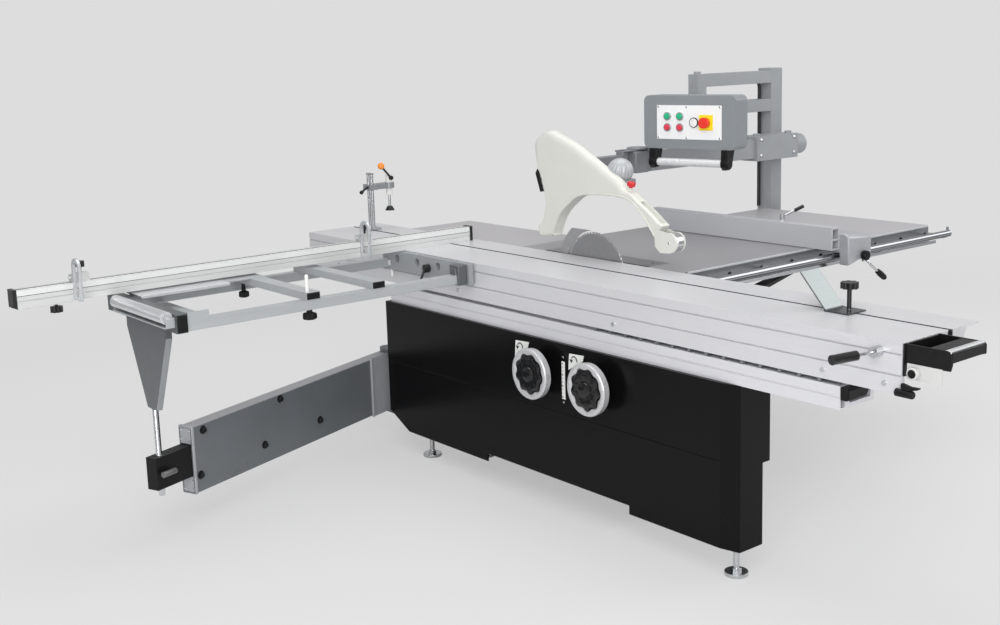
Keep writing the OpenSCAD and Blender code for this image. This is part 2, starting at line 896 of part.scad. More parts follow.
module feet() {
    color("#c9ccd0") put() {
        for (y = [frame_near + foot_near_in, foot_far])
            translate([frame_out + foot_in, y, 0]) foot(frame_low);
        for (x = [frame_in + foot_body_in, body_right - foot_body_in])
            for (s = [-1, 1])
                translate([x, s * (body_half - foot_body_in), 0]) foot(body_low);
    }
}
// fixed rail that carries the sliding table
module base_rail() {
    color("#b9bbbf") put() along_y(rail_near, rail_far) difference() {
        polygon([[slider_left, frame_top], [slider_left + rail_foot_w, frame_top],
            [slider_left + rail_foot_w, rail_foot_z], [rail_up_r, rail_foot_z],
            [rail_up_r, rail_up_z], [rail_up_l, rail_up_z],
            [rail_up_l, rail_foot_z], [slider_left, rail_foot_z]]);
        translate([rail_up_l + rail_wall, frame_top + rail_wall])
            square([rail_up_r - rail_up_l - 2 * rail_wall, rail_up_z - frame_top - 2 * rail_wall]);
        translate([slider_left + groove_w, frame_top + groove_w])
            square([roller_room, rail_foot_h - 2 * groove_w]);
        translate([slider_left - over, frame_top + rail_foot_h / 2])
            square([over + groove_w / 2, groove_w]);
    }
}
// cast saw table with ribs underneath
module saw_table() {
    color("#8f9194") put() difference() {
        box([table_left, table_near, rim_low], [table_right, table_far, table_z]);
        box([table_left - over, slot_near, rim_low - over], [slot_right, slot_far, table_z + over]);
        box([slot_right - over, slot_near, table_z - insert_t], [slot_right + insert_w, slot_far,
            table_z + over]);
        box([slot_right - over, slot_near + insert_ledge, rim_low - over],
            [slot_right + insert_w - insert_ledge, slot_far - insert_ledge, table_z]);
        for (p = [[slot_right + insert_w + 2 * table_rib, body_right - table_rib],
                  [body_right + table_rib, table_right - table_rib]])
            for (q = [[-ped_half + table_rib, -table_rib / 2], [table_rib / 2, ped_half - table_rib]])
                box([p[0], q[0], rim_low - over], [p[1], q[1], table_z - table_plate]);
    }
}
module table_insert() {
    color("#6f7174") put() difference() {
        box([slot_right, slot_near + pass_gap, table_z - insert_t],
            [slot_right + insert_w - pass_gap, slot_far - pass_gap, table_z]);
        for (s = [slot_near + insert_ledge + knob_d, slot_far - insert_ledge - knob_d])
            translate([slot_right + insert_w / 2, s, table_z - insert_t - over])
                cylinder(d = bolt_d, h = insert_t + 2 * over);
    }
}
module tray(x0, x1, y0, y1, rim) {
    difference() {
        box([x0, y0, table_z - rim], [x1, y1, table_z]);
        for (i = [0, 1])
            box([x0 + rear_sheet, y0 + rear_sheet + i * (y1 - y0) / 2, table_z - rim - over],
                [x1 - rear_sheet, y0 - rear_sheet + (i + 1) * (y1 - y0) / 2, table_z - rear_sheet]);
    }
}
module outfeed_table() {
    color("#a9abae") put() tray(table_left, table_left + rear_w, table_far, rear_far, rear_rim);
}
module right_table() {
    color("#b0b0b3") put() tray(table_right, right_edge, table_near, table_far, table_rim);
}
module beam(x1, y) {
    difference() {
        box([body_right, y - beam_w / 2, rim_low - beam_h], [x1, y + beam_w / 2, rim_low]);
        box([body_right - over, y - beam_w / 2 + sheet, rim_low - beam_h + sheet],
            [x1 - sheet, y + beam_w / 2 - sheet, rim_low - sheet]);
    }
    along_y(y - beam_w / 2, y + beam_w / 2)
        polygon([[body_right, brace_z], [body_right, brace_z - beam_h / 2],
            [brace_x + beam_h / 2, rim_low - beam_h], [brace_x, rim_low - beam_h]]);
}
module table_beams() {
    color("#2a2b2d") put() {
        beam(right_edge - beam_w, beam_near);
        beam(col_x + col_w, beam_far);
        box([col_x, beam_far + beam_w / 2, rim_low - beam_h], [col_x + col_w, col_y, rim_low]);
    }
}
// guide rail of the rip fence
module angle_rail() {
    color("#9a9ca0") put() {
        box([table_rib, table_near - angle_t, table_z - angle_t - angle_h], [right_edge, table_near,
            table_z - angle_t]);
        box([table_rib, table_near - angle_w, table_z - angle_t - angle_h],
            [right_edge, table_near - angle_t, table_z - angle_h]);
        for (x = guide_post_x)
            difference() {
                box([x - guide_post_w / 2, rip_bar_y - guide_d / 4, rip_bar_z - guide_d / 2],
                    [x + guide_post_w / 2, table_near - angle_t, rip_bar_z - over]);
                translate([x - guide_post_w, rip_bar_y, rip_bar_z]) rod_x(guide_d, 2 * guide_post_w);
            }
    }
}
module guide_bar() {
    color("#d4d6d9") put() {
        translate([guide_left, rip_bar_y, rip_bar_z]) rod_x(guide_d, guide_right - guide_left);
        translate([guide_right - stud_d, rip_bar_y, rip_bar_z]) cylinder(d = stud_d, h = guide_d);
    }
}
module column() {
    color("#999b9f") put() difference() {
        box([col_x, col_y, col_low], [col_x + col_w, col_y + col_w, col_top]);
        box([col_x + sheet, col_y + sheet, col_low - over], [col_x + col_w - sheet,
            col_y + col_w - sheet, col_top - sheet]);
    }
}
module panel_arms() {
    color("#999b9f") put() {
        difference() {
            box([uparm_end, col_y, uparm_z], [col_x, col_y + uparm_w, uparm_z + uparm_h]);
            box([uparm_end + sheet, col_y + sheet, uparm_z + sheet],
                [col_x + over, col_y + uparm_w - sheet, uparm_z + uparm_h - sheet]);
            translate([panel_pin[0], panel_pin[1], uparm_z - over]) cylinder(d = gpin_d + 2 * run_fit,
                h = uparm_h);
        }
        translate([panel_pin[0], panel_pin[1], uparm_z + uparm_h]) hex(foot_nut, foot_nut_h);
        tube([col_x - midarm_l, col_y, midarm_z], [col_x, col_y + uparm_w, midarm_z + uparm_h], 0);
    }
}
// cable conduit from the upper arm down the column
module conduit() {
    color("#1d1d1f") put() translate([col_x - conduit_d / 2, col_y + uparm_w + conduit_d / 2, 0]) {
        translate([0, 0, table_z]) cylinder(d = conduit_d, h = uparm_z + uparm_h / 2 - conduit_r - table_z);
        translate([-conduit_r, 0, uparm_z + uparm_h / 2 - conduit_r]) rotate([90, 0, 0])
            rotate_extrude(angle = 90) translate([conduit_r, 0]) circle(d = conduit_d);
        translate([-conduit_r - uparm_l / 2, 0, uparm_z + uparm_h / 2]) rod_x(conduit_d, uparm_l / 2);
    }
}
// arm that carries the guard and the dust duct
module guard_boom() {
    color("#8d8f93") put() {
        difference() {
            union() {
                box([sleeve_right - sleeve_l, gboom_y, gboom_z - sleeve_h / 2], [sleeve_right, col_y,
                    gboom_z + sleeve_h / 2]);
                box([gboom_left, gboom_arm_y, gboom_z - gboom_arm_h / 2],
                    [sleeve_right - sleeve_l, gboom_arm_y + gboom_arm_d, gboom_z + gboom_arm_h / 2]);
            }
            box([gboom_left + sleeve_wall, gboom_arm_y + sheet, gboom_z - gboom_arm_h / 2 + sheet],
                [sleeve_right - sleeve_wall, gboom_arm_y + gboom_arm_d - sheet,
                    gboom_z + gboom_arm_h / 2 - sheet]);
            translate([sleeve_right - 2 * sleeve_wall, gboom_y + sleeve_d / 2, gboom_z])
                rod_x(gboom_arm_d - 2 * sheet, 3 * sleeve_wall);
            translate([gpin[0], gpin[1], gboom_z]) cylinder(d = gpin_d + 2 * run_fit, h = sleeve_h);
        }
        for (x = [sleeve_right - sleeve_l + foot_nut, sleeve_right - foot_nut])
            translate([x, gboom_y + foot_nut, gboom_z + sleeve_h / 2]) hex(foot_nut, foot_nut_h);
        translate([sleeve_right, gboom_y + sleeve_d / 2, gboom_z]) difference() {
            union() {
                rod_x(dust_d, dust_l);
                rod_x(dust_d + 2 * dust_wall, sleeve_wall);
            }
            translate([-over, 0, 0]) rod_x(gboom_arm_d - 2 * sheet, dust_l + 2 * over);
        }
    }
}
// hinge of the swing arm on the far end of the frame
module arm_bracket() {
    color("#5c6063") put() {
        for (z = [arm_low - bracket_t - run_fit, arm_low + arm_h + run_fit]) {
            box([arm_x - barrel_d / 2, frame_far, z], [arm_x + barrel_d / 2, arm_y, z + bracket_t]);
            translate([arm_x, arm_y, z]) cylinder(d = barrel_d, h = bracket_t);
        }
        box([arm_x - barrel_d / 2, frame_far, arm_low - bracket_t - run_fit],
            [arm_x + barrel_d / 2, frame_far + bracket_t, arm_low + arm_h + bracket_t + run_fit]);
        translate([arm_x, arm_y, arm_low - bracket_t]) cylinder(d = hinge_pin, h = arm_h + 2 * bracket_t);
    }
}
// bearing collars, tags and scale of the handwheels on the frame face
module wheel_plates() {
    color("#d7d8d6") put() {
        for (y = [wheel_a_y, wheel_b_y]) {
            translate([frame_out - collar_l, y, wheel_z]) difference() {
                rod_x(collar_d, collar_l);
                translate([-over, 0, 0]) rod_x(wheel_shaft + 2 * run_fit, collar_l + 2 * over);
            }
            box([frame_out - plate_t, y + wheel_d / 2 - knob_d, wheel_z + wheel_d / 3],
                [frame_out, y + wheel_d / 2 + knob_d / 3, wheel_z + wheel_d / 2]);
        }
        box([frame_out - plate_t, (wheel_a_y + wheel_b_y) / 2 - slot_mouth / 2, wheel_z - wheel_d / 2],
            [frame_out, (wheel_a_y + wheel_b_y) / 2 + slot_mouth / 2, wheel_z + wheel_d / 3]);
    }
}
// quadrant plates that let the blade unit tilt about the table line
module trunnion_slot(y) {
    translate([0, y - over, table_z]) rotate([-90, 0, 0]) rotate([0, 0, tilt_slot_from])
        rotate_extrude(angle = tilt_max + tilt_slot_spread)
            translate([tilt_r - tilt_pin / 2 - pass_gap, 0]) square([tilt_pin + 2 * pass_gap,
                trunnion_t + 2 * over]);
}
module trunnions() {
    color("#3a3c3f") put() for (s = [-1, 1])
        translate([0, s > 0 ? trunnion_half : -trunnion_half - trunnion_t, 0]) difference() {
            along_y(0, trunnion_t)
                polygon([[table_left + table_rib, rim_low], [body_right - sheet, rim_low],
                    [body_right - sheet, rim_low - carriage_h], [tilt_r, table_z - tilt_r - 2 * tilt_pin],
                    [-tilt_pin, table_z - tilt_r - 3 * tilt_pin], [-tilt_r,
                        table_z - tilt_r - 2 * tilt_pin],
                    [-tilt_r, frame_top + tilt_pin], [-tilt_r + 2 * tilt_pin,
                        table_z - tilt_r + 6 * tilt_pin],
                    [table_left + table_rib - tilt_pin, table_z - tilt_r + 6 * tilt_pin]]);
            trunnion_slot(0);
        }
}
// frame that tilts, with its two raise columns
module tilt_frame() {
    bar_left = raise_x + raise_rod / 2;
    bar_right = bar_left + raise_rod;
    foot_z = table_z - tilt_foot;
    color("#4a4d50") put() {
        for (s = [-1, 1]) {
            translate([0, s > 0 ? trunnion_half - tilt_gap - tilt_plate : -trunnion_half + tilt_gap, 0])
                along_y(0, tilt_plate)
                    polygon([[bar_left, table_z - tilt_low], [bar_right, table_z - tilt_low],
                        [tilt_pins[1][0] + tilt_pin, tilt_pins[1][1]], [tilt_pins[1][0],
                            tilt_pins[1][1] + tilt_pin],
                        [tilt_pins[0][0], tilt_pins[0][1] + tilt_pin], [tilt_pins[0][0] - tilt_pin,
                            tilt_pins[0][1]]]);
            for (p = tilt_pins)
                translate([p[0], s > 0 ? trunnion_half - tilt_gap - tilt_plate / 2 : -trunnion_half - trunnion_t, p[1]])
                    rod_y(tilt_pin, trunnion_t + tilt_gap + tilt_plate / 2);
            translate([raise_x, s * raise_half, foot_z]) cylinder(d = raise_rod, h = tilt_foot - tilt_head);
            box([raise_x - raise_rod / 2, s * raise_half - raise_rod, foot_z],
                [bar_right, s * raise_half + raise_rod, foot_z + tilt_plate]);
            box([bar_left, s * raise_half - raise_rod, table_z - tilt_low],
                [bar_right, s * raise_half + raise_rod, foot_z + tilt_plate]);
        }
        box([bar_left, -trunnion_half + tilt_gap, table_z - tilt_low],
            [bar_right, trunnion_half - tilt_gap, table_z - tilt_low + tilt_plate]);
    }
}
// carriage with the blade arbor, riding on the raise columns
module arbor_carriage() {
    color("#55585b") put() translate([0, 0, arbor_z]) {
        difference() {
            union() {
                for (s = [-1, 1])
                    translate([raise_x, s * raise_half, -carriage_h])
                        cylinder(d = 2 * raise_rod, h = carriage_h);
                box([raise_x - raise_rod / 2, -raise_half, -carriage_h + belt_t],
                    [raise_x + raise_rod / 2, raise_half, -belt_t]);
                translate([arbor_from, 0, 0]) rod_x(flange_d, raise_x - arbor_from);
                translate([arbor_from, -score_y, arbor_score]) rod_x(score_hub, raise_x - arbor_from);
            }
            for (s = [-1, 1])
                translate([raise_x, s * raise_half, -carriage_h]) cylinder(d = raise_rod + 2 * run_fit,
                    h = 2 * carriage_h);
            translate([-over, 0, 0]) rod_x(arbor_d + 2 * run_fit, arbor_l + 2 * over);
            translate([-over, -score_y, arbor_score]) rod_x(score_bore + 2 * run_fit, score_l + 2 * over);
        }
        box([raise_x - raise_rod / 2, -motor_d / 2, -motor_drop - motor_d / 2],
            [raise_x + raise_rod / 2, motor_d / 2, -carriage_h / 2]);
        box([knife_t / 2, blade_d / 2 + knife_gap, -carriage_h / 3], [raise_x - raise_rod / 2,
            blade_d / 2 + knife_gap + knife_w, -carriage_h / 6]);
    }
}
module motor() {
    color("#303235") put() translate([raise_x + raise_rod / 2, 0, arbor_z - motor_drop]) {
        rod_x(motor_d, motor_len * motor_bell_share);
        rod_x(motor_d - 2 * motor_fin * 2, motor_len);
        for (i = [0 : motor_fins - 1])
            translate([motor_len * (motor_bell_share + i * motor_pitch_share), 0, 0])
                rod_x(motor_d, motor_fin);
    }
}
// blade disc with gullets between its teeth
module disc(d, t, n, g) {
    difference() {
        translate([-t / 2, 0, 0]) rod_x(d, t);
        for (i = [0 : n - 1])
            rotate([i * 360 / n, 0, 0]) along_x(-t, t)
                polygon([[-g * tooth_land_share, d / 2 + over], [-g * tooth_land_share, d / 2 - g],
                    [0, d / 2 - g], [g * tooth_land_share, d / 2 + over]]);
    }
}
module saw_blade() {
    color("#8a8b8e") put() translate([0, 0, arbor_z]) {
        disc(blade_d, blade_t, blade_teeth, tooth_d);
        translate([-blade_t / 2 - flange_t, 0, 0]) rod_x(flange_d, flange_t + blade_t);
        translate([-blade_t / 2 - flange_t, 0, 0]) rod_x(arbor_d, flange_t + arbor_l);
        translate([blade_t / 2, 0, 0]) rod_x(flange_d, arbor_from - blade_t / 2 - pass_gap);
    }
}
module scoring_blade() {
    color("#8a8b8e") put() translate([0, -score_y, arbor_z + arbor_score]) {
        disc(score_d, blade_t, blade_teeth / 2, tooth_d / 2);
        rod_x(score_bore, score_l);
        translate([blade_t / 2, 0, 0]) rod_x(score_hub, arbor_from - blade_t / 2 - pass_gap);
    }
}
// curved knife behind the blade
module riving_knife() {
    color("#a5a7aa") put() translate([0, 0, arbor_z]) along_x(-knife_t / 2, knife_t / 2) intersection() {
        difference() {
            circle(d = blade_d + 2 * knife_gap + 2 * knife_w, $fn = 96);
            circle(d = blade_d + 2 * knife_gap, $fn = 96);
        }
        polygon([[0, 0], [knife_top * knife_top_share, knife_top], [blade_d, knife_top],
            [blade_d, -carriage_h / 3], [0, -carriage_h / 3]]);
    }
}
// handwheel with rim, spokes, lobed hub and shaft
module handwheel() {
    translate([-wheel_off, 0, 0]) rotate([0, 90, 0]) {
        rotate_extrude() translate([wheel_d / 2 - wheel_rim / 2, 0]) circle(d = wheel_rim);
        for (i = [0 : spokes - 1])
            rotate([0, 0, i * 360 / spokes]) translate([0, -spoke_w / 2, -wheel_rim / 4])
                cube([wheel_d / 2 - wheel_rim / 2, spoke_w, wheel_rim / 2]);
        translate([0, 0, -hub_h / 2]) {
            cylinder(d = hub_d - hub_lobe / 2, h = hub_h);
            for (i = [0 : hub_lobes - 1])
                rotate([0, 0, i * 360 / hub_lobes]) translate([hub_d / 2 - hub_lobe / 2, 0, 0])
                    cylinder(d = hub_lobe, h = hub_h);
        }
        cylinder(d = wheel_shaft, h = wheel_off + frame_w / 2);
        translate([wheel_d / 2 - wheel_rim / 2, 0, -hub_h]) cylinder(d = grip_d, h = hub_h);
    }
}
module raise_wheel() {
    color("#c4c5c7") put() translate([frame_out, wheel_a_y, wheel_z]) handwheel();
}
module tilt_wheel() {
    color("#c4c5c7") put() translate([frame_out, wheel_b_y, wheel_z]) handwheel();
}
// sliding table extrusion
module slider_profile() {
    difference() {
        polygon([[slider_left, table_z], [slider_edge, table_z], [slider_edge, table_z - lip_t],
            [slider_edge - lip_w, table_z - lip_t], [slider_edge - lip_w - deck_t / 2, deck_low],
                [in_skirt_r, deck_low], [in_skirt_r, skirt_low],
            [in_skirt_l, skirt_low], [in_skirt_l, deck_low], [slider_left + skirt_t, deck_low],
            [slider_left + skirt_t, skirt_low], [slider_left, skirt_low]]);
        translate([slot_x - slot_mouth / 2, table_z - slot_depth]) square([slot_mouth, slot_depth + over]);
        translate([slot_x - slot_under / 2, table_z - slot_depth - slot_under_d])
            square([slot_under, slot_under_d]);
        for (d = [groove_hi, groove_lo])
            translate([slider_left - over, table_z - d]) square([over + groove_d, groove_w]);
        for (i = [0, 1])
            translate([slider_left + skirt_t + i * inner_skirt / 2, deck_low + cell_wall])
                square([inner_skirt / 2 - skirt_t, deck_t - 2 * cell_wall]);
    }
}
module slider() {
    color("#c9cacd") put() {
        along_y(slider_near, slider_far) slider_profile();
        for (k = slider_bolt_shares)
            translate([slider_left - bolt_h, slider_near + k * slider_len, table_z - bolt_drop])
                rod_x(bolt_d, bolt_h);
    }
}
// roller cage between the sliding table and its rail
module roller_cage() {
    color("#8c8e92") put() for (x = [slider_left + skirt_t + roller_room / 2,
        rail_up_r + roller_room / 2]) {
        box([x - cage_t / 2, cage_near, rail_foot_z + over], [x + cage_t / 2, cage_near + cage_len,
            rail_foot_z + over + cage_h]);
        for (i = [0 : cage_n - 1])
            translate([x, cage_near + (i + cage_mid_share) * cage_len / cage_n, rail_foot_z + over + (cage_h - cage_roller_h) / 2])
                cylinder(d = roller_room - 2 * pass_gap, h = cage_roller_h);
    }
    color("#8c8e92") put() for (i = [0 : cage_n - 1])
        translate([slider_left + over, cage_near + (i + cage_low_share) * cage_len / cage_n,
            (rail_foot_z + skirt_low) / 2]) {
            rod_x(skirt_low - rail_foot_z - 2 * pass_gap, skirt_t + roller_room / 2 - over);
        }
}
// black end box with its hand recess, roller and clamp knob
module end_box() {
    box_left = slider_left + ebox_in;
    box_low = table_z - ebox_h;
    color("#232426") put() {
        difference() {
            along_x(box_left, box_left + ebox_w)
                polygon([[slider_near, table_z - over], [slider_near - ebox_l + ebox_wall, table_z - over],
                    [slider_near - ebox_l, table_z - over - ebox_wall],
                    [slider_near - ebox_l, table_z - ebox_front], [slider_near - ebox_l / 2, box_low],
                    [slider_near, box_low]]);
            box([box_left + ebox_wall, slider_near - ebox_l / 2, box_low + ebox_wall],
                [box_left + ebox_w - ebox_wall, slider_near - ebox_wall, table_z]);
        }
        box([box_left, slider_near - ebox_l / 2, skirt_low],
            [box_left + ebox_wall / 2, slider_near, box_low + over]);
        translate([box_left - eroller_w, slider_near - ebox_l / 4, box_low - eroller_d / 2])
            rod_x(eroller_d, eroller_w + ebox_wall / 4);
        translate([box_left - eroller_w - knob_h, slider_near - ebox_l / 3, skirt_low + knob_h]) {
            rod_x(stud_d, eroller_w + knob_h + ebox_wall / 4);
            translate([0, 0, -knob_d / 2]) cylinder(d = knob_h, h = knob_d);
        }
    }
}
// push handle on the side of the sliding table
module push_handle() {
    color("#b9bbbe") put() translate([slider_left, push_y, table_z - groove_hi + groove_w / 2]) {
        translate([-clamp_t, 0, 0]) rod_x(hinge_pin, clamp_t);
        translate([-clamp_t / 2, 0, 0]) rotate([0, 0, push_turn]) {
            translate([-push_rod, 0, 0]) rod_x(stud_d, push_rod);
            translate([-push_rod - push_grip, 0, 0]) rod_x(grip_d * grip_share, push_grip);
        }
    }
}
// edging shoe clamped in the slot of the sliding table
module edge_shoe() {
    color("#c3c5c8") put() translate([slot_x, shoe_y, table_z]) {
        translate([-slot_mouth / 2 + pass_gap, 0, -slot_depth - over])
            cube([slot_mouth - 2 * pass_gap, shoe_w, slot_depth + over]);
        translate([-slot_under / 2 + over, 0, -slot_depth - slot_under_d + over])
            cube([slot_under - 2 * over, shoe_w, slot_under_d - 2 * over + over - pass_gap]);
        translate([-shoe_w / 2, 0, 0]) cube([shoe_w, shoe_w, shoe_t]);
        translate([-shoe_w / 2, shoe_w - shoe_t, 0]) rotate([shoe_lean, 0, 0])
            cube([shoe_w, shoe_l, shoe_t]);
        translate([0, shoe_w / 3, shoe_t]) cylinder(d = post_d * grip_share / 2, h = shoe_post_h);
        translate([0, shoe_w / 3, shoe_t + shoe_post_h]) star(knob_d + post_d, knob_h, hub_lobes);
    }
}
// square tube between two corners, open at its ends along the named axis
module tube(a, b, axis) {
    o = [axis == 0 ? -over : tube_wall, axis == 1 ? -over : tube_wall, axis == 2 ? -over : tube_wall];
    difference() {
        box(a, b);
        box(a + o, b - o);
    }
}
// frame of the crosscut table
module cross_frame() {
    color("#aeb2b5") put() {
        for (y = [cross_near, cross_far - cross_tube])
            tube([cross_out + cross_tube, y, cross_z], [cross_in, y + cross_tube, cross_top], 0);
        tube([cross_out, cross_near - tube_wall, cross_z - tube_wall],
            [cross_out + cross_tube, cross_far, cross_z - tube_wall + end_tube_h], 1);
        for (x = bar_x)
            tube([x, cross_near, cross_top], [x + bar_w, cross_far, cross_top + bar_h], 1);
        box([cross_out + 3 * cross_tube + cross_tube, cross_near + cross_tube, cross_z],
            [cross_out + 5 * cross_tube, cross_far - cross_tube, cross_z + ledge_t]);
        box([cross_out + cross_tube, fence_y - fence_d, table_z - ledge_t - bar_h / 4],
            [bar_x[0] + bar_w, fence_y + fence_d, table_z - bar_h / 4]);
        box([cross_out + cross_tube, fence_y - fence_d / 2, cross_top], [cross_out + 2 * cross_tube,
            fence_y + fence_d / 2, table_z - ledge_t - bar_h / 4]);
        box([cross_out + cross_tube, cross_near, cross_top], [cross_out + 3 * cross_tube,
            cross_near + ledge_t, cross_top + bar_h]);
        box([croller_x - croller_axle, croller_near - croller_plate, cross_top - cross_tube_h / 2],
            [cross_out, croller_near + croller_len + croller_plate,
                cross_top - cross_tube_h / 2 + ledge_t]);
        for (y = [croller_near - croller_plate, croller_near + croller_len])
            difference() {
                union() {
                    box([croller_x - croller_axle / 2, y, cross_top - cross_tube_h / 2 + over],
                        [cross_out, y + croller_plate, croller_z]);
                    translate([croller_x, y, croller_z]) rod_y(2 * croller_axle, croller_plate);
                }
                translate([croller_x, y - over, croller_z]) rod_y(croller_axle + 2 * run_fit,
                    croller_plate + 2 * over);
            }
    }
}
// clamp plate along the side of the sliding table
module cross_clamp() {
    color("#9ea2a6") put() difference() {
        box([cross_in, cross_near - cross_tube / 2, cross_z - cross_tube / 4],
            [slider_left - bolt_h - over, cross_far, cross_z - cross_tube / 4 + clamp_h]);
        for (i = [0 : 2])
            translate([cross_in - over, cross_near + cross_tube + (i + 1) * (cross_far - cross_near)
                / 4, cross_z + clamp_h / 2])
                rod_x(hinge_pin, clamp_t + 2 * over);
    }
    color("#9ea2a6") put() for (y = [cross_near + cross_tube, cross_far - 2 * cross_tube])
        box([slider_left - bolt_h - over, y, table_z - groove_hi + groove_w + over], [slider_left,
            y + cross_tube, cross_z - cross_tube / 4 + clamp_h]);
}
// tapered leg under the outer end
module cross_leg() {
    color("#606467") put() difference() {
        along_x(cross_out + over, cross_out + over + leg_t)
            polygon([[leg_y - leg_top / 2, cross_z - tube_wall], [leg_y + leg_top / 2, cross_z - tube_wall],
                [leg_y + leg_top / 2, cross_z - cross_tube], [leg_y + leg_foot / 2, leg_low],
                [leg_y - leg_foot / 2, leg_low], [leg_y - leg_top / 2, cross_z - cross_tube]]);
        along_x(cross_out + over + leg_rib, cross_out + 2 * over + leg_t)
            polygon([[leg_y - leg_top / 2 + 2 * leg_rib, cross_z - cross_tube],
                [leg_y + leg_top / 2 - 2 * leg_rib, cross_z - cross_tube],
                [leg_y + leg_foot / 2 - leg_rib, leg_low + 2 * leg_rib],
                    [leg_y - leg_foot / 2 + leg_rib, leg_low + 2 * leg_rib]]);
    }
}
module cross_roller() {
    color("#d0d3d6") put() translate([croller_x, croller_near, croller_z]) {
        translate([0, pass_gap, 0]) rod_y(croller_d, croller_len - 2 * pass_gap);
        translate([0, -croller_plate, 0]) rod_y(croller_axle, croller_len + 2 * croller_plate);
    }
}
module clamp_lever() {
    color("#202123") put() translate([cross_in, (cross_near + cross_far)
        / 2 - cross_tube, cross_z + clamp_h / 3]) {
        translate([-knob_h, 0, 0]) rod_x(knob_d, knob_h);
        translate([-knob_h, 0, 0]) rotate([0, clamp_lean - 180, 0]) cylinder(d = stud_d, h = grip_l);
        translate([-knob_h, 0, 0]) rotate([0, clamp_lean - 180, 0]) translate([0, 0, grip_l])
            cylinder(d = grip_d, h = grip_l / 2);
    }
}
// crosscut fence extrusion with its stop blocks and pivot
module cross_fence() {
    color("#c8cac9") put() {
        difference() {
            along_x(fence_out, fence_in) difference() {
                translate([fence_y, table_z]) square([fence_d, fence_h]);
                translate([fence_y + fence_d / 2 - fence_slot / 2, table_z + fence_h - fence_slot_d])
                    square([fence_slot, fence_slot_d + over]);
                translate([fence_y - over, table_z + fence_h / 3]) square([over + fence_slot_d / 4,
                    fence_slot / 4]);
                translate([fence_y + fence_slot_d, table_z + fence_slot_d / 2])
                    square([fence_d - 2 * fence_slot_d, fence_h - 3 * fence_slot_d]);
            }
        }
        translate([slot_x, fence_y + fence_d / 2, table_z - slot_depth - slot_under_d + over])
            cylinder(d = slot_under - 2 * over, h = pivot_head);
        translate([slot_x, fence_y + fence_d / 2, table_z - slot_depth - slot_under_d + over])
            cylinder(d = pivot_d, h = slot_depth + slot_under_d + fence_slot_d);
        for (x = stop_x) {
            box([x, fence_y + fence_d / 2 - stop_bar, table_z + fence_h],
                [x + stop_block, fence_y + fence_d / 2 + stop_bar, table_z + fence_h + stop_block_h]);
            translate([x - stop_t - 2 * over, fence_y + fence_d / 2, table_z + fence_h + stop_block_h / 2])
                rod_x(stop_pin, stop_t + 2 * over);
            translate([x + stop_block / 2, fence_y + fence_d / 2, table_z + fence_h + stop_block_h])
                cylinder(d = stud_d, h = knob_h);
            translate([x + stop_block / 2, fence_y + fence_d / 2,
                table_z + fence_h + stop_block_h + knob_h]) star(knob_d, knob_h, hub_lobes);
        }
        for (x = [fence_out - fence_cap, fence_in])
            box([x, fence_y - over, table_z + over], [x + fence_cap, fence_y + fence_d + over,
                table_z + fence_h + over]);
        box([fence_out, fence_y - over, table_z - ledge_t], [fence_out + sole_len, fence_y + sole_w,
            table_z]);
        translate([fence_out + sole_len * sole_knob_share, fence_y + sole_w / 4,
            table_z - ledge_t - knob_h / 2])
            cylinder(d = stud_d, h = knob_h / 2);
        translate([fence_out + sole_len * sole_knob_share, fence_y + sole_w / 4,
            table_z - ledge_t - knob_h * 3 / 2])
            star(knob_d * grip_share, knob_h, hub_lobes);
    }
}
// looped flip stop that swings about the pin of its block
module stop_plate(x) {
    translate([x - stop_t - over / 2, fence_y + fence_d / 2, table_z + fence_h + stop_block_h / 2])
        along_x(0, stop_t) difference() {
        union() {
            translate([-fence_d / 2 - stop_w - over, -fence_h - stop_block_h / 2 + 2 * over])
                square([stop_w, stop_h - stop_w / 2]);
            translate([-fence_d / 2 - stop_w / 2 - over,
                stop_h - stop_w / 2 - fence_h - stop_block_h / 2 + 2 * over]) circle(d = stop_w);
            translate([-fence_d / 2 - stop_bar, -stop_bar]) square([fence_d / 2 + stop_bar, 2 * stop_bar]);
            circle(d = 2 * stop_bar);
        }
        translate([-fence_d / 2 - stop_w - over + stop_bar,
            -fence_h - stop_block_h / 2 + 2 * over + stop_bar])
            square([stop_w - 2 * stop_bar, stop_h - stop_w / 2 - stop_bar]);
        translate([-fence_d / 2 - stop_w / 2 - over,
            stop_h - stop_w / 2 - fence_h - stop_block_h / 2 + 2 * over]) circle(d = stop_w - 2 * stop_bar);
        circle(d = stop_pin + 2 * run_fit);
    }
}
module stop_outer() {
    color("#c2c5c8") put() stop_plate(stop_x[0]);
}
module stop_inner() {
    color("#c2c5c8") put() stop_plate(stop_x[1]);
}
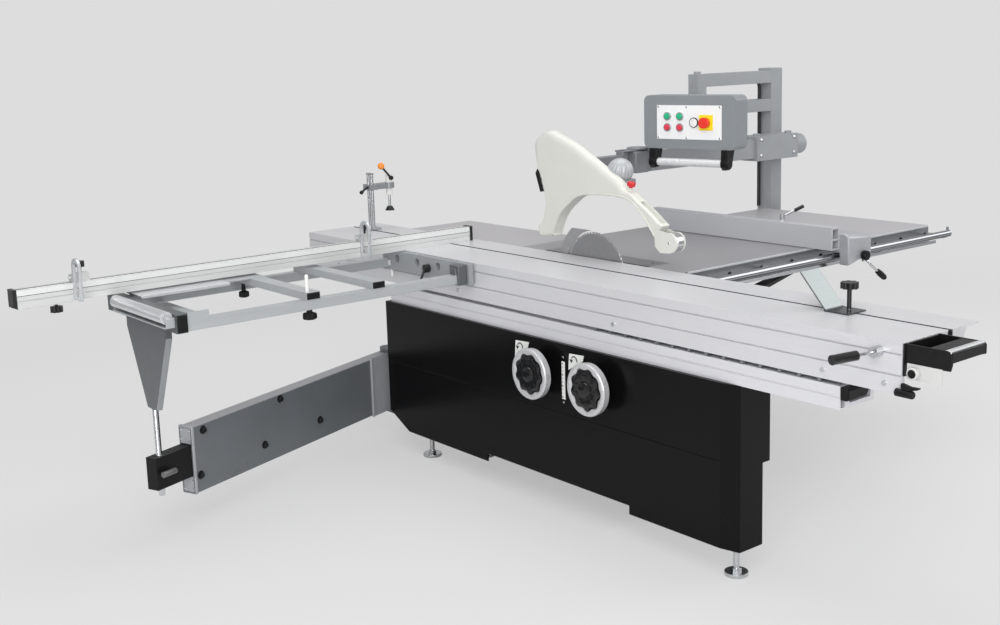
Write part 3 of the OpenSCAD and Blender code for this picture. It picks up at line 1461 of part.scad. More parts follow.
// hold down clamp standing in the slot of the sliding table
module hold_posts() {
    color("#b4b6b9") put() translate([hold_x, hold_y, table_z]) {
        translate([-hold_base / 2, -hold_base / 2, 0]) cube([hold_base, hold_base, hold_base_t]);
        translate([0, 0, -slot_depth - slot_under_d + over]) cylinder(d = slot_under - 2 * over,
            h = pivot_head);
        translate([0, 0, -slot_depth - slot_under_d + over])
            cylinder(d = pivot_d, h = slot_depth + slot_under_d);
        for (s = [-1, 1])
            translate([0, s * hold_pitch / 2, 0]) cylinder(d = hold_post, h = hold_h);
        translate([-hold_post / 2, -hold_pitch / 2 - hold_post / 2, hold_h])
            cube([hold_post, hold_pitch + hold_post, hold_base_t / 2]);
    }
}
module hold_arm_part() {
    color("#8f9296") put() translate([hold_x, hold_y, table_z + hold_arm_z]) difference() {
        union() {
            translate([-hold_post * 3 / 2, -hold_pitch / 2 - hold_post, 0])
                cube([3 * hold_post, hold_pitch + 2 * hold_post, hold_arm_h]);
            translate([0, -hold_arm_w / 2, 0]) cube([hold_arm, hold_arm_w, hold_arm_h]);
            translate([hold_arm, 0, 0]) cylinder(d = hold_arm_w + hold_base_t, h = hold_arm_h);
        }
        for (s = [-1, 1])
            translate([0, s * hold_pitch / 2, -over]) cylinder(d = hold_post + 2 * run_fit,
                h = hold_arm_h + 2 * over);
        translate([hold_arm, 0, -over]) cylinder(d = plunger_d + 2 * run_fit, h = hold_arm_h + 2 * over);
    }
}
module hold_plunger() {
    color("#dcddd9") put() translate([hold_x + hold_arm, hold_y, table_z + hold_arm_z]) {
        translate([0, 0, -plunger_h / 3]) cylinder(d = plunger_d, h = plunger_h);
        translate([0, 0, -plunger_h]) cylinder(d = plunger_rod, h = plunger_h * 2 / 3);
        translate([0, 0, -plunger_h - knob_h / 2]) cylinder(d1 = plunger_foot, d2 = plunger_foot / 2,
            h = knob_h);
    }
}
module hold_lever() {
    color("#e08a35") put() translate([hold_x + hold_arm, hold_y - plunger_d / 2,
        table_z + hold_arm_z + plunger_h / 2]) {
        translate([0, -hold_base_t, 0]) rod_y(plunger_d * 2 / 3, hold_base_t);
        translate([0, -hold_base_t / 2, 0]) rotate([0, -hold_turn, 0]) {
            cylinder(d = stud_d, h = lever_len);
            translate([0, 0, lever_len]) sphere(d = ball_d);
        }
    }
}
// swing arm that carries the outer end of the crosscut table
module on_arm() {
    translate([arm_x, arm_y, 0]) rotate([0, 0, 180 + arm_angle]) children();
}
module swing_arm() {
    color("#585c5f") put() on_arm() {
        difference() {
            union() {
                translate([0, 0, arm_low]) cylinder(d = barrel_d, h = arm_h);
                box([0, -arm_t / 2, arm_low], [arm_len, arm_t / 2, arm_low + arm_h]);
            }
            translate([0, 0, arm_low - over]) cylinder(d = hinge_pin + 2 * run_fit, h = arm_h + 2 * over);
            box([barrel_d, -arm_t / 2 + arm_wall, arm_low + arm_wall], [arm_len + over,
                arm_t / 2 - arm_wall, arm_low + arm_h - arm_wall]);
        }
        for (q = arm_bolt_shares)
            translate([arm_len * q[0], arm_t / 2, arm_low + arm_h * q[1]]) rod_y(bolt_d, bolt_h);
    }
}
module arm_extension() {
    color("#222325") put() on_arm() {
        difference() {
            box([arm_len - ext_in, -ext_th / 2, arm_low + (arm_h - ext_h)
                / 2], [post_r + ext_out, ext_th / 2, arm_low + (arm_h + ext_h) / 2]);
            box([arm_len - ext_in - over, -ext_th / 2 + arm_wall, arm_low + (arm_h - ext_h) / 2 + arm_wall],
                [post_r - ext_out, ext_th / 2 - arm_wall, arm_low + (arm_h + ext_h) / 2 - arm_wall]);
            translate([post_r, 0, arm_low]) cylinder(d = post_d, h = arm_h);
        }
        translate([post_r, 0, post_low]) cylinder(d = post_d, h = leg_low - post_gap - post_low);
        translate([post_r, ext_th / 2, arm_low + arm_h / 2]) rod_y(stud_d, knob_h);
        translate([post_r - grip_l / 2, ext_th / 2 + knob_h, arm_low + arm_h / 2]) rod_x(grip_d, grip_l);
    }
}
// carrier of the rip fence, hooked over the guide bar
module rip_carrier() {
    color("#acaeb2") put() {
        difference() {
            union() {
                box([carrier_x, rip_bar_y - carrier_d / 2, rip_bar_z - carrier_low],
                    [carrier_x + carrier_l, rip_bar_y + carrier_d / 2, rip_bar_z + carrier_h]);
                translate([carrier_x, rip_bar_y, rip_bar_z + carrier_h]) rod_x(carrier_d / 3, carrier_l);
            }
            translate([carrier_x - over, rip_bar_y, rip_bar_z])
                rod_x(guide_d + 2 * run_fit, carrier_l + 2 * over);
            box([carrier_x - over, rip_bar_y - guide_d / 4 - over, rip_bar_z - carrier_low - over],
                [carrier_x + carrier_l + over, rip_bar_y + carrier_d, rip_bar_z]);
            box([carrier_x - over, rip_bar_y + guide_d, rip_bar_z - carrier_low - over],
                [carrier_x + carrier_l + over, rip_bar_y + carrier_d, table_z + rip_gap]);
        }
        translate([carrier_x + carrier_l / 2, rip_bar_y - carrier_d / 2 - knob_h, rip_bar_z]) {
            rod_y(stud_d, knob_h);
            translate([0, -knob_h, 0]) rod_y(knob_d + stud_d, knob_h);
        }
    }
}
module rip_fence() {
    color("#aaacb0") put() {
        along_y(rip_near, rip_far) difference() {
            translate([rip_x, table_z + rip_gap]) square([rip_w, rip_h]);
            translate([rip_x + cell_wall, table_z + rip_gap + cell_wall])
                square([rip_w - 2 * cell_wall, rip_h / 2 - 2 * cell_wall]);
            translate([rip_x + cell_wall, table_z + rip_gap + rip_h / 2])
                square([rip_w - 2 * cell_wall, rip_h / 2 - cell_wall]);
        }
        translate([rip_x + rip_w / 2, rip_clamp_share * rip_near, table_z + rip_gap + rip_h])
            cylinder(d = grip_d, h = knob_h / 2);
    }
}
// lock lever of the rip fence
module rip_lever() {
    color("#b6b8bb") put() translate([rip_x + rip_w / 2, rip_clamp_share * rip_near,
        table_z + rip_gap + rip_h + knob_h / 2]) {
        cylinder(d = grip_d, h = knob_h);
        translate([0, 0, knob_h / 2]) rotate([0, rip_lean, -30]) {
            cylinder(d = stud_d, h = grip_l);
            translate([0, 0, grip_l]) cylinder(d = grip_d * 2 / 3, h = grip_l * 2 / 3);
        }
    }
}
// link from the guard arm to the hinge on the side of the guard
module guard_link() {
    color("#54575a") put() {
        translate([gpin[0], gpin[1], gboom_z + gboom_arm_h / 4])
            cylinder(d = gpin_d, h = gboom_arm_h / 4 + sheet);
        translate([gpin[0], gpin[1], gboom_z + gboom_arm_h / 2])
            cylinder(d = gdisc_d, h = glink_z + glink_h + knob_h / 3 - gboom_z - gboom_arm_h / 2);
        translate([glink_end[0], glink_end[1], glink_z])
            rotate([0, 0, atan2(glink_vec[1], glink_vec[0])]) translate([0, -glink_w / 2, 0])
                cube([glink_len, glink_w, glink_h]);
        translate([glink_end[0], glink_end[1], ghinge_z - ghinge_boss_d / 2 - over])
            cylinder(d = glink_w + 2 * over, h = glink_z + glink_h - ghinge_z + ghinge_boss_d / 2 + 2 * over);
        translate([guard_w / 2 + pass_gap, ghinge_y, ghinge_z])
            rod_x(ghinge_boss_d, ghinge_boss + glink_w / 4);
        translate([guard_w / 2 - guard_wall, ghinge_y, ghinge_z])
            rod_x(ghinge_d, guard_wall + pass_gap + over);
    }
}
// moulded overhead guard: a shell, open below so that the blade can enter
module guard_hollow() {
    w = 2 * guard_wall;
    intersection() {
        translate([w, 0]) polygon(guard_pts);
        translate([-w, 0]) polygon(guard_pts);
        translate([0, w]) polygon(guard_pts);
        translate([0, -w]) polygon(guard_pts);
    }
}
module guard() {
    color("#dcdcd6") put() difference() {
        along_x(-guard_w / 2, guard_w / 2) polygon(guard_pts);
        along_x(-guard_w / 2 + guard_wall, guard_w / 2 - guard_wall) guard_hollow();
        along_x(-guard_w / 2 + 2 * guard_wall, guard_w / 2 - 2 * guard_wall) polygon(guard_mouth);
        translate([-guard_w, groller_y, groller_z]) rod_x(stud_d + 2 * run_fit, 2 * guard_w);
        box([-groller_w / 2 - over, guard_oy[12] - over, guard_oz[14] - over],
            [groller_w / 2 + over, groller_y + groller_d / 2 + over, guard_oz[11]]);
        translate([guard_w / 2 - 2 * guard_wall, ghinge_y, ghinge_z])
            rod_x(ghinge_d + 2 * run_fit, 3 * guard_wall);
    }
}
// domed dust port bulging from the slope of the guard
module guard_port() {
    color("#9b9ea1") put() difference() {
        translate([0, port_y, port_z]) sphere(d = port_d);
        along_x(-guard_w / 2, guard_w / 2) polygon(guard_pts);
    }
}
module guard_roller() {
    color("#b3b5b8") put() translate([-groller_w / 2, groller_y, groller_z]) {
        rod_x(groller_d, groller_w);
        translate([-guard_w / 2 + groller_w / 2, 0, 0]) rod_x(stud_d, guard_w);
    }
}
// control panel hanging on its link
module at_panel() {
    translate([panel_x, panel_y, panel_z]) rotate([0, 0, -panel_angle]) children();
}
module round_plate(w, h, r) {
    for (s = [-1, 1])
        for (t = [0, 1])
            translate([s * (w / 2 - r), r + t * (h - 2 * r)]) circle(r = r);
    translate([-w / 2 + r, 0]) square([w - 2 * r, h]);
    translate([-w / 2, r]) square([w, h - 2 * r]);
}
module button_hole(u, v, d) {
    translate([u, -over - ring_h - plate_t, button_mid + v])
        rod_y(d + 2 * run_fit, 4 * panel_r / 3 + ring_h);
}
module control_panel() {
    color("#7f858a") put() {
        at_panel() {
            difference() {
                union() {
                    along_y(0, panel_d) round_plate(panel_w, panel_h, panel_r);
                    translate([-plate_w / 2, -plate_t, plate_v]) cube([plate_w, plate_t, plate_h]);
                    for (u = button_u)
                        for (v = button_v)
                            translate([u, -plate_t - ring_h, button_mid + v]) rod_y(ring_d, ring_h);
                    translate([estop_u - estop_plate / 2, -2 * plate_t, button_mid - estop_plate / 2])
                        cube([estop_plate, plate_t, estop_plate]);
                }
                along_y(panel_r, panel_d + over) translate([0, cell_wall])
                    round_plate(panel_w - 2 * cell_wall, panel_h - 2 * cell_wall, panel_r);
                for (u = button_u)
                    for (v = button_v)
                        button_hole(u, v, button_d);
                button_hole(selector_u, 0, button_d);
                button_hole(estop_u, 0, button_d);
            }
        }
    }
}
// link, neck and handle of the control panel
module panel_link() {
    color("#3a3c3f") put() {
        at_panel() {
            for (s = [-1, 1])
                translate([s * (panel_w / 2 - handle_in), 0, 0]) along_x(-handle_w / 4, handle_w / 4)
                    polygon([[0, 0], [panel_d / 2, 0], [panel_d / 2, -handle_drop / 3], [handle_w / 2,
                        -handle_drop],
                        [-handle_w / 3, -handle_drop], [-handle_w / 3, -handle_drop + handle_d], [0,
                            -handle_drop / 2]]);
            translate([-panel_w / 2 + handle_in, handle_d / 4, -handle_drop + handle_d])
                rod_x(handle_d, panel_w - 2 * handle_in);
        }
        translate([panel_top_mid[0], panel_top_mid[1], plink_low])
            cylinder(d = handle_w, h = panel_z + panel_h - cell_wall - plink_low);
        translate([panel_top_mid[0], panel_top_mid[1], plink_low])
            rotate([0, 0, atan2(plink_vec[1], plink_vec[0])]) translate([0, -uparm_w / 2, 0])
                cube([plink_len, uparm_w, plink_t]);
        translate([panel_pin[0] - uparm_w / 2, panel_pin[1] - uparm_w / 2, plink_low + over])
            cube([uparm_w, uparm_w, uparm_z - plink_low - over]);
        translate([panel_pin[0], panel_pin[1], uparm_z - over]) cylinder(d = gpin_d, h = uparm_h / 2);
    }
}
module push_button(u, v) {
    at_panel() translate([u, -plate_t - ring_h - button_h, button_mid + v]) {
        rod_y(button_d - ring_h, button_h);
        translate([0, button_h - button_travel, 0]) rod_y(button_d, button_travel + ring_h + panel_r / 2);
    }
}
module start_main() {
    color("#2fae7c") put() push_button(button_u[0], button_v[0]);
}
module start_score() {
    color("#2fae7c") put() push_button(button_u[1], button_v[0]);
}
module stop_main() {
    color("#c8323f") put() push_button(button_u[0], button_v[1]);
}
module stop_score() {
    color("#c8323f") put() push_button(button_u[1], button_v[1]);
}
module selector() {
    color("#e4e5e4") put() at_panel() translate([selector_u, -plate_t - ring_h, button_mid]) {
        rod_y(ring_d, ring_h);
        rod_y(button_d, ring_h + panel_r / 2);
        translate([-ring_h / 2, -ring_h, -ring_d / 2]) cube([ring_h, ring_h, ring_d]);
    }
}
module e_stop() {
    color("#d8352b") put() at_panel() translate([estop_u, -2 * plate_t - button_travel - knob_h,
        button_mid]) {
        rod_y(estop_d, knob_h);
        rod_y(button_d, knob_h + button_travel + plate_t + panel_r / 2);
    }
}

base_frame();
saw_body();
feet();
base_rail();
saw_table();
table_insert();
outfeed_table();
right_table();
table_beams();
angle_rail();
guide_bar();
column();
panel_arms();
conduit();
guard_boom();
arm_bracket();
wheel_plates();
trunnions();
slider();
roller_cage();
end_box();
push_handle();
edge_shoe();
cross_frame();
cross_clamp();
cross_leg();
cross_roller();
clamp_lever();
cross_fence();
stop_outer();
stop_inner();
hold_posts();
hold_arm_part();
hold_plunger();
hold_lever();
swing_arm();
arm_extension();
tilt_frame();
arbor_carriage();
motor();
saw_blade();
scoring_blade();
riving_knife();
raise_wheel();
tilt_wheel();
rip_carrier();
rip_fence();
rip_lever();
guard_link();
guard();
guard_port();
guard_roller();
control_panel();
panel_link();
start_main();
start_score();
stop_main();
stop_score();
selector();
e_stop();
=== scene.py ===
"""Looks of the sliding table saw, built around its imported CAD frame. Lengths are in mm in the machine's own
frame: x = 0 is the blade plane, y = 0 the arbor, z = 0 the floor. pt() turns them into the row frame. Radii
of masks and of soft edges, the lamps and the floor are in metres."""

import math

import bmesh
import bpy
from mathutils import Matrix, Vector


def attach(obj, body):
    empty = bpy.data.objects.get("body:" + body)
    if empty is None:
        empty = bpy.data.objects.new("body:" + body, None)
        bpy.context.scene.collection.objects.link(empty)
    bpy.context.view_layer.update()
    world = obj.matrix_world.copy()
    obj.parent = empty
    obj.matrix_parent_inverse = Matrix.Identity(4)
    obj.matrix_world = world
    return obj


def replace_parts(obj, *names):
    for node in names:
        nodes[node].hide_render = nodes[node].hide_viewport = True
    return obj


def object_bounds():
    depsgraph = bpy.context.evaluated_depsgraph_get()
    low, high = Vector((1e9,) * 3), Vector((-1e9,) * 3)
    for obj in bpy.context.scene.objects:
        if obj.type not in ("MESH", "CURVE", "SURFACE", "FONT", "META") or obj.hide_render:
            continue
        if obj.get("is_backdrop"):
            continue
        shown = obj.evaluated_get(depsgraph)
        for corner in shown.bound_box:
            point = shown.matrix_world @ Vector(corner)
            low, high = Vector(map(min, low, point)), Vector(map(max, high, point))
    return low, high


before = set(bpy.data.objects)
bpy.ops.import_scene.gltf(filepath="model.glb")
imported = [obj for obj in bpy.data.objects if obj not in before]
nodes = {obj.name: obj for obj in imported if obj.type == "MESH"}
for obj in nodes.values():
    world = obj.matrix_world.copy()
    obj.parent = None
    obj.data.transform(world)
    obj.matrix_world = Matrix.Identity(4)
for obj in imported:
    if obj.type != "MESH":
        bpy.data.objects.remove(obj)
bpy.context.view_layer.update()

MM = 0.001
SHIFT_X, SHIFT_Y = 118.0, 139.0
TABLE_Z = 885.0
PANEL_X, PANEL_Y, PANEL_Z, PANEL_ANGLE = 672, 120, 1260, math.radians(77)
ARM_X, ARM_Y, ARM_ANGLE = -312, 1042, math.radians(200.451)
# ways along the axes of the machine, the panel or the arm
X_WAY, Y_WAY, UP, LEFT, FRONT, DOWN = (1, 0, 0), (0, 1, 0), (0, 0, 1), (-1, 0, 0), (0, -1, 0), (0, 0, -1)


def pt(x, y, z):
    """A point of the machine frame in mm as a point of the row frame in metres."""
    return Vector(((x + SHIFT_X) * MM, (y + SHIFT_Y) * MM, z * MM))


def on_panel(u, out, v):
    """A point on the control panel: u along its face, out in front of it, v above its lower edge, in mm."""
    c, s = math.cos(-PANEL_ANGLE), math.sin(-PANEL_ANGLE)
    return pt(PANEL_X + u * c + out * s, PANEL_Y + u * s - out * c, PANEL_Z + v)


def on_arm(r, side, z):
    """A point on the swing arm: r along it from its hinge, side across it, in mm."""
    c, s = math.cos(ARM_ANGLE), math.sin(ARM_ANGLE)
    return pt(ARM_X + r * c - side * s, ARM_Y + r * s + side * c, z)


def linear(r, g, b):
    """A colour given in the 0 to 255 of a screen as the shader's linear colour."""
    shares = (r / 255, g / 255, b / 255)
    return tuple(v / 12.92 if v <= 0.04045 else ((v + 0.055) / 1.055) ** 2.4 for v in shares)


# directions of a grain: even, or drawn out along one axis
EVEN, ALONG_X, ALONG_Y, ALONG_Z, DRAWN_Y = (1, 1, 1), (0.02, 1, 1), (1, 0.02, 1), (1, 1, 0.02), (1, 0.03, 1)
BUMP_DEPTH, BEVEL_SAMPLES, COAT_ROUGH, LEAST_ROUGH = 0.0006, 4, 0.08, 0.03


class Finish:
    """One finish: colour, roughness, metal, how far the colour and roughness wander, and its grain."""

    def __init__(self, rgb, rough, metal=0.0, vary=0.06, rough_vary=0.06, scale=18.0, stretch=EVEN):
        self.rgb, self.rough, self.metal = linear(*rgb), rough, metal
        self.vary, self.rough_vary, self.scale, self.stretch = vary, rough_vary, scale, stretch


def streaked(rgb, rough, stretch, metal=1.0, vary=0.07, scale=160.0):
    """A drawn or ground metal with streaks along one axis."""
    return Finish(rgb, rough, metal, vary, 0.03, scale, stretch)


class Surface:
    """What lies over a finish: its bump with scale and grain, radius of its soft edges, coat and shine."""

    def __init__(self, bump, scale=400.0, edge=0.0, stretch=EVEN, coat=0.0, spec=0.5):
        self.bump, self.scale, self.edge = bump, scale, edge
        self.stretch, self.coat, self.spec = stretch, coat, spec


class Nodes:
    """The node tree of a material or a world, emptied, with short ways to fill it."""

    def __init__(self, owner):
        owner.use_nodes = True
        self.tree = owner.node_tree
        self.tree.nodes.clear()

    def feed(self, socket, value):
        """Links another socket to this one, or sets a plain value. None leaves it as it is."""
        if isinstance(value, bpy.types.NodeSocket):
            self.tree.links.new(value, socket)
        elif value is not None:
            socket.default_value = value

    def add(self, kind, inputs=(), **settings):
        """A new shader node, with its settings made before its inputs are fed."""
        node = self.tree.nodes.new("ShaderNode" + kind)
        for key, value in settings.items():
            setattr(node, key, value)
        for key, value in dict(inputs).items():
            self.feed(node.inputs[key], value)
        return node

    def math(self, op, a, b, c=None):
        return self.add("Math", {0: a, 1: b, 2: c}, operation=op).outputs[0]

    def vector(self, op, a, b=None, out="Vector"):
        return self.add("VectorMath", {0: a, 1: b}, operation=op).outputs[out]

    def mix_shaders(self, fac, a, b):
        return self.add("MixShader", {0: fac, 1: a, 2: b}).outputs[0]


class Material(Nodes):
    """A base finish, further finishes inside zones of the rest coordinates, one bump and soft edges."""

    def __init__(self, name, base, surface):
        self.mat = bpy.data.materials.new(name)
        super().__init__(self.mat)
        self.coord = self.add("TexCoord").outputs["Object"]
        coat = {"Coat Weight": surface.coat, "Coat Roughness": COAT_ROUGH, "Specular IOR Level": surface.spec}
        self.shader = self.add("BsdfPrincipled", coat)
        self.add("OutputMaterial", {"Surface": self.shader.outputs["BSDF"]})
        self.colour, self.rough, self.metal = self.finish(base)
        self.bump(surface)

    def noise(self, scale, stretch, detail=3.0, roughness=0.55):
        place = self.add("Mapping", {"Vector": self.coord, "Scale": stretch}).outputs["Vector"]
        inputs = {"Vector": place, "Scale": scale, "Detail": detail, "Roughness": roughness}
        return self.add("TexNoise", inputs).outputs["Fac"]

    def span(self, fac, low, high):
        """The middle half of a noise spread out from low to high."""
        inputs = {"Value": fac, "From Min": 0.25, "From Max": 0.75, "To Min": low, "To Max": high}
        return self.add("MapRange", inputs).outputs["Result"]

    def mix(self, kind, fac, a, b):
        """A mix of two colours, kind RGBA, or of two values, kind FLOAT."""
        node = self.add("Mix", data_type=kind)
        for name, value in (("Factor", fac), ("A", a), ("B", b)):
            socket = next(s for s in node.inputs if s.name == name and s.enabled)
            self.feed(socket, (*value, 1.0) if isinstance(value, tuple) else value)
        return next(s for s in node.outputs if s.enabled)

    def finish(self, f):
        """Colour, roughness and metal of a finish, as sockets or values."""
        fac = self.noise(f.scale, f.stretch)
        dark = tuple(v * (1 - f.vary) for v in f.rgb)
        pale = tuple(min(1.0, v * (1 + f.vary)) for v in f.rgb)
        colour = self.mix("RGBA", self.span(fac, 0.0, 1.0), dark, pale)
        rough = self.span(fac, max(LEAST_ROUGH, f.rough - f.rough_vary), min(1.0, f.rough + f.rough_vary))
        return colour, rough, f.metal

    def zone(self, mask, f):
        """Another finish where the mask is 1."""
        colour, rough, metal = self.finish(f)
        self.colour = self.mix("RGBA", mask, self.colour, colour)
        self.rough = self.mix("FLOAT", mask, self.rough, rough)
        self.metal = self.mix("FLOAT", mask, self.metal, metal)

    def box_mask(self, low, high, coord=None):
        """1 inside a box of the rest coordinates, or of other coordinates that are given."""
        away = self.vector("SUBTRACT", self.coord if coord is None else coord, (low + high) / 2)
        past = self.vector("SUBTRACT", self.vector("ABSOLUTE", away), (high - low) / 2)
        x, y, z = self.add("SeparateXYZ", {0: past}).outputs
        return self.math("LESS_THAN", self.math("MAXIMUM", self.math("MAXIMUM", x, y), z), 0.0)

    def round_mask(self, centre, axis, outer, inner=-1.0):
        """1 where the distance from a line through centre along axis lies between inner and outer."""
        away = self.vector("SUBTRACT", self.coord, centre)
        across = self.vector("CROSS_PRODUCT", away, Vector(axis).normalized())
        d = self.vector("LENGTH", across, out="Value")
        return self.math("MULTIPLY", self.math("LESS_THAN", d, outer), self.math("GREATER_THAN", d, inner))

    def ball_mask(self, centre, radius):
        """1 within radius of a point."""
        return self.math("LESS_THAN", self.vector("DISTANCE", self.coord, centre, "Value"), radius)

    def half_mask(self, point, normal):
        """1 on the side of a plane that its normal points to."""
        away = self.vector("SUBTRACT", self.coord, point)
        return self.math("GREATER_THAN", self.vector("DOT_PRODUCT", away, normal, "Value"), 0.0)

    def bump(self, surface):
        height = self.noise(surface.scale, surface.stretch, detail=2.0)
        node = self.add("Bump", {"Strength": surface.bump, "Distance": BUMP_DEPTH, "Height": height})
        if surface.edge > 0:
            soft = self.add("Bevel", {"Radius": surface.edge}, samples=BEVEL_SAMPLES)
            self.feed(node.inputs["Normal"], soft.outputs["Normal"])
        self.feed(self.shader.inputs["Normal"], node.outputs["Normal"])

    def done(self):
        for name, value in (("Base Color", self.colour), ("Roughness", self.rough), ("Metallic", self.metal)):
            self.feed(self.shader.inputs[name], value)
        return self.mat

    def on(self, *names):
        """Closes the material and gives it to CAD nodes."""
        material = self.done()
        for name in names:
            slots = nodes[name].data.materials
            slots.clear()
            slots.append(material)


# finishes and surfaces that several materials share
BLACK_GLOSS = Finish((12, 12, 13), 0.24, vary=0.04, rough_vary=0.03, scale=3)
BLACK_SATIN = Finish((30, 30, 31), 0.42, vary=0.12, rough_vary=0.08, scale=30)
BLACK_MOULD = Finish((22, 22, 23), 0.36, vary=0.14, rough_vary=0.10, scale=70)
ZINC = Finish((205, 207, 209), 0.22, 1.0, vary=0.10, rough_vary=0.08, scale=60)
CHROME = Finish((214, 216, 219), 0.10, 1.0, vary=0.05, rough_vary=0.05, scale=40)
POWDER = Surface(0.25, 700, 0.003)
EXTRUDED = Surface(0.1, 420, 0.0015, DRAWN_Y)
SMOOTH = Surface(0.05, 400, 0.001)
BUTTON = Surface(0.05, 400, 0.002)
SAWN = Surface(0.2, 500, 0.0006)

# cabinet, feet and blade unit
Material("cabinet_black", BLACK_GLOSS, Surface(0.04, 160, 0.003, spec=0.12)).on("base_frame")
body_black = Finish((18, 17, 18), 0.30, vary=0.05, scale=3)
Material("body_black", body_black, Surface(0.05, 160, 0.003, spec=0.15)).on("saw_body")
Material("foot_zinc", ZINC, Surface(0.2, 500, 0.002)).on("feet")
Material("unit_coat", BLACK_SATIN, Surface(0.5, 500, 0.002)).on("table_beams", "trunnions", "tilt_frame")
raw_casting = Finish((96, 99, 101), 0.55, 0.3, vary=0.14, scale=90)
Material("unit_casting", raw_casting, Surface(0.8, 420, 0.003)).on("arbor_carriage", "motor")

# tables and the rails beside them
TABLE_SKIN, BAR_PAINTED_SHADE_Z = 2, 849
ground_iron = streaked((158, 157, 160), 0.32, DRAWN_Y, metal=0.35, vary=0.05, scale=220)
table = Material("table_cast", ground_iron, Surface(0.25, 420, 0.002, (1, 0.05, 1)))
table_side = table.half_mask(pt(0, 0, TABLE_Z - TABLE_SKIN), DOWN)
table.zone(table_side, Finish((92, 93, 95), 0.6, 0.2, vary=0.12, scale=60))
table.on("saw_table")
insert_steel = streaked((150, 150, 152), 0.30, ALONG_Y, vary=0.08)
Material("insert_steel", insert_steel, Surface(0.2, 500, 0.001, ALONG_Y)).on("table_insert")
sheet_steel = Finish((176, 174, 177), 0.38, 0.12, vary=0.03, scale=26, stretch=(1, 0.2, 1))
Material("sheet_table", sheet_steel, Surface(0.2, 500, 0.003)).on("outfeed_table", "right_table")
rail_steel = streaked((150, 152, 155), 0.22, ALONG_X, metal=0.7, vary=0.02)
Material("rail_steel", rail_steel, Surface(0.2, 500, 0.001, ALONG_X)).on("angle_rail")
Material("cage_steel", streaked((150, 152, 156), 0.30, ALONG_Y), Surface(0.2, 500, 0.001)).on("roller_cage")
bar_chrome = Finish((160, 162, 166), 0.16, 1.0, vary=0.04, rough_vary=0.03, scale=40)
bar = Material("chrome_bar", bar_chrome, Surface(0.05, 300, 0.001))
# painted shade: the guide bar's lower half is made darker than its bright top
bar_painted_shade = Finish((82, 84, 88), 0.2, 1.0, vary=0.04, scale=40)
bar.zone(bar.half_mask(pt(0, 0, BAR_PAINTED_SHADE_Z), DOWN), bar_painted_shade)
bar.on("guide_bar")
tube_steel = streaked((214, 216, 218), 0.24, ALONG_Y, metal=0.7, vary=0.03)
Material("tube_steel", tube_steel, SMOOTH).on("cross_roller")

# column, swing arm with its leg and extension, link of the guard
ARM_TOP_Z, POST_R, POST_RADIUS, EXTENSION_SIDE = 383, 1402, 0.0115, 26.5
column_grey = Finish((149, 152, 155), 0.40, vary=0.04, scale=14)
Material("column_grey", column_grey, POWDER).on("column", "panel_arms", "guard_boom")
arm_grey = Finish((80, 84, 87), 0.34, vary=0.05, scale=10)
leg = Material("arm_grey", arm_grey, Surface(0.3, 700, 0.003, coat=0.1))
# painted light: the half of the leg facing the front is made paler than the rest
leg_lit_side = leg.half_mask(pt(0, 388.4, 769.6), (0, -0.908, -0.418))
leg.zone(leg_lit_side, Finish((136, 140, 143), 0.34, vary=0.05, scale=10))
leg.on("arm_bracket", "cross_leg")
swing_grey = Finish((100, 104, 108), 0.32, vary=0.05, scale=8)
swing = Material("swing_grey", swing_grey, Surface(0.3, 700, 0.004, coat=0.1))
# painted light: the arm's top is made paler than its sides
lit_arm_top = swing.half_mask(on_arm(0, 0, ARM_TOP_Z), UP)
swing.zone(lit_arm_top, Finish((152, 152, 156), 0.32, vary=0.04, scale=8))
swing.on("swing_arm")
ext_black = Finish((20, 20, 21), 0.42, vary=0.12, rough_vary=0.08, scale=30)
extension = Material("ext_black", ext_black, Surface(0.3, 600, 0.003, spec=0.2))
extension.zone(extension.round_mask(on_arm(POST_R, 0, 0), UP, POST_RADIUS), CHROME)
across_arm = on_arm(POST_R, 1, 0) - on_arm(POST_R, 0, 0)
outer_side = extension.half_mask(on_arm(POST_R, EXTENSION_SIDE, 0), across_arm)
extension.zone(outer_side, Finish((120, 118, 119), 0.3, 0.6))
extension.on("arm_extension")
link_grey = Finish((126, 127, 132), 0.36, vary=0.06, scale=16)
link_mat = Material("link_grey", link_grey, Surface(0.3, 700, 0.003)).done()

# sliding table: painted shade inside its top slot and, faintly, in two grooves on its left face; zinc bolt
# heads on that face
SLIDER_FROM, SLIDER_TO, SLIDER_LEFT, GROOVE_WIDE = -1700, 1600, -395.4, 5
slider_alu = streaked((212, 212, 215), 0.36, ALONG_Y, metal=0.3, vary=0.02)
slider = Material("slider_alu", slider_alu, EXTRUDED)
# painted shade: the inside of the top slot is made dark
painted_slot_shade = slider.box_mask(pt(-171, SLIDER_FROM, 860), pt(-145, SLIDER_TO, 884.4))
slider.zone(painted_slot_shade, Finish((70, 71, 73), 0.5, 0.5))
# painted shade: the two grooves are made a little darker than the face around them
for groove_z in (849, 788):
    low, high = pt(SLIDER_LEFT, SLIDER_FROM, groove_z), pt(-391, SLIDER_TO, groove_z + GROOVE_WIDE)
    slider.zone(slider.box_mask(low, high), Finish((204, 204, 207), 0.4, 0.4))
bolt_heads = slider.half_mask(pt(-396.2, 0, 0), LEFT)
slider.zone(bolt_heads, ZINC)
slider.on("slider")
rail_alu = streaked((216, 216, 220), 0.34, ALONG_Y, metal=0.3, vary=0.02)
Material("rail_alu", rail_alu, EXTRUDED).on("base_rail")

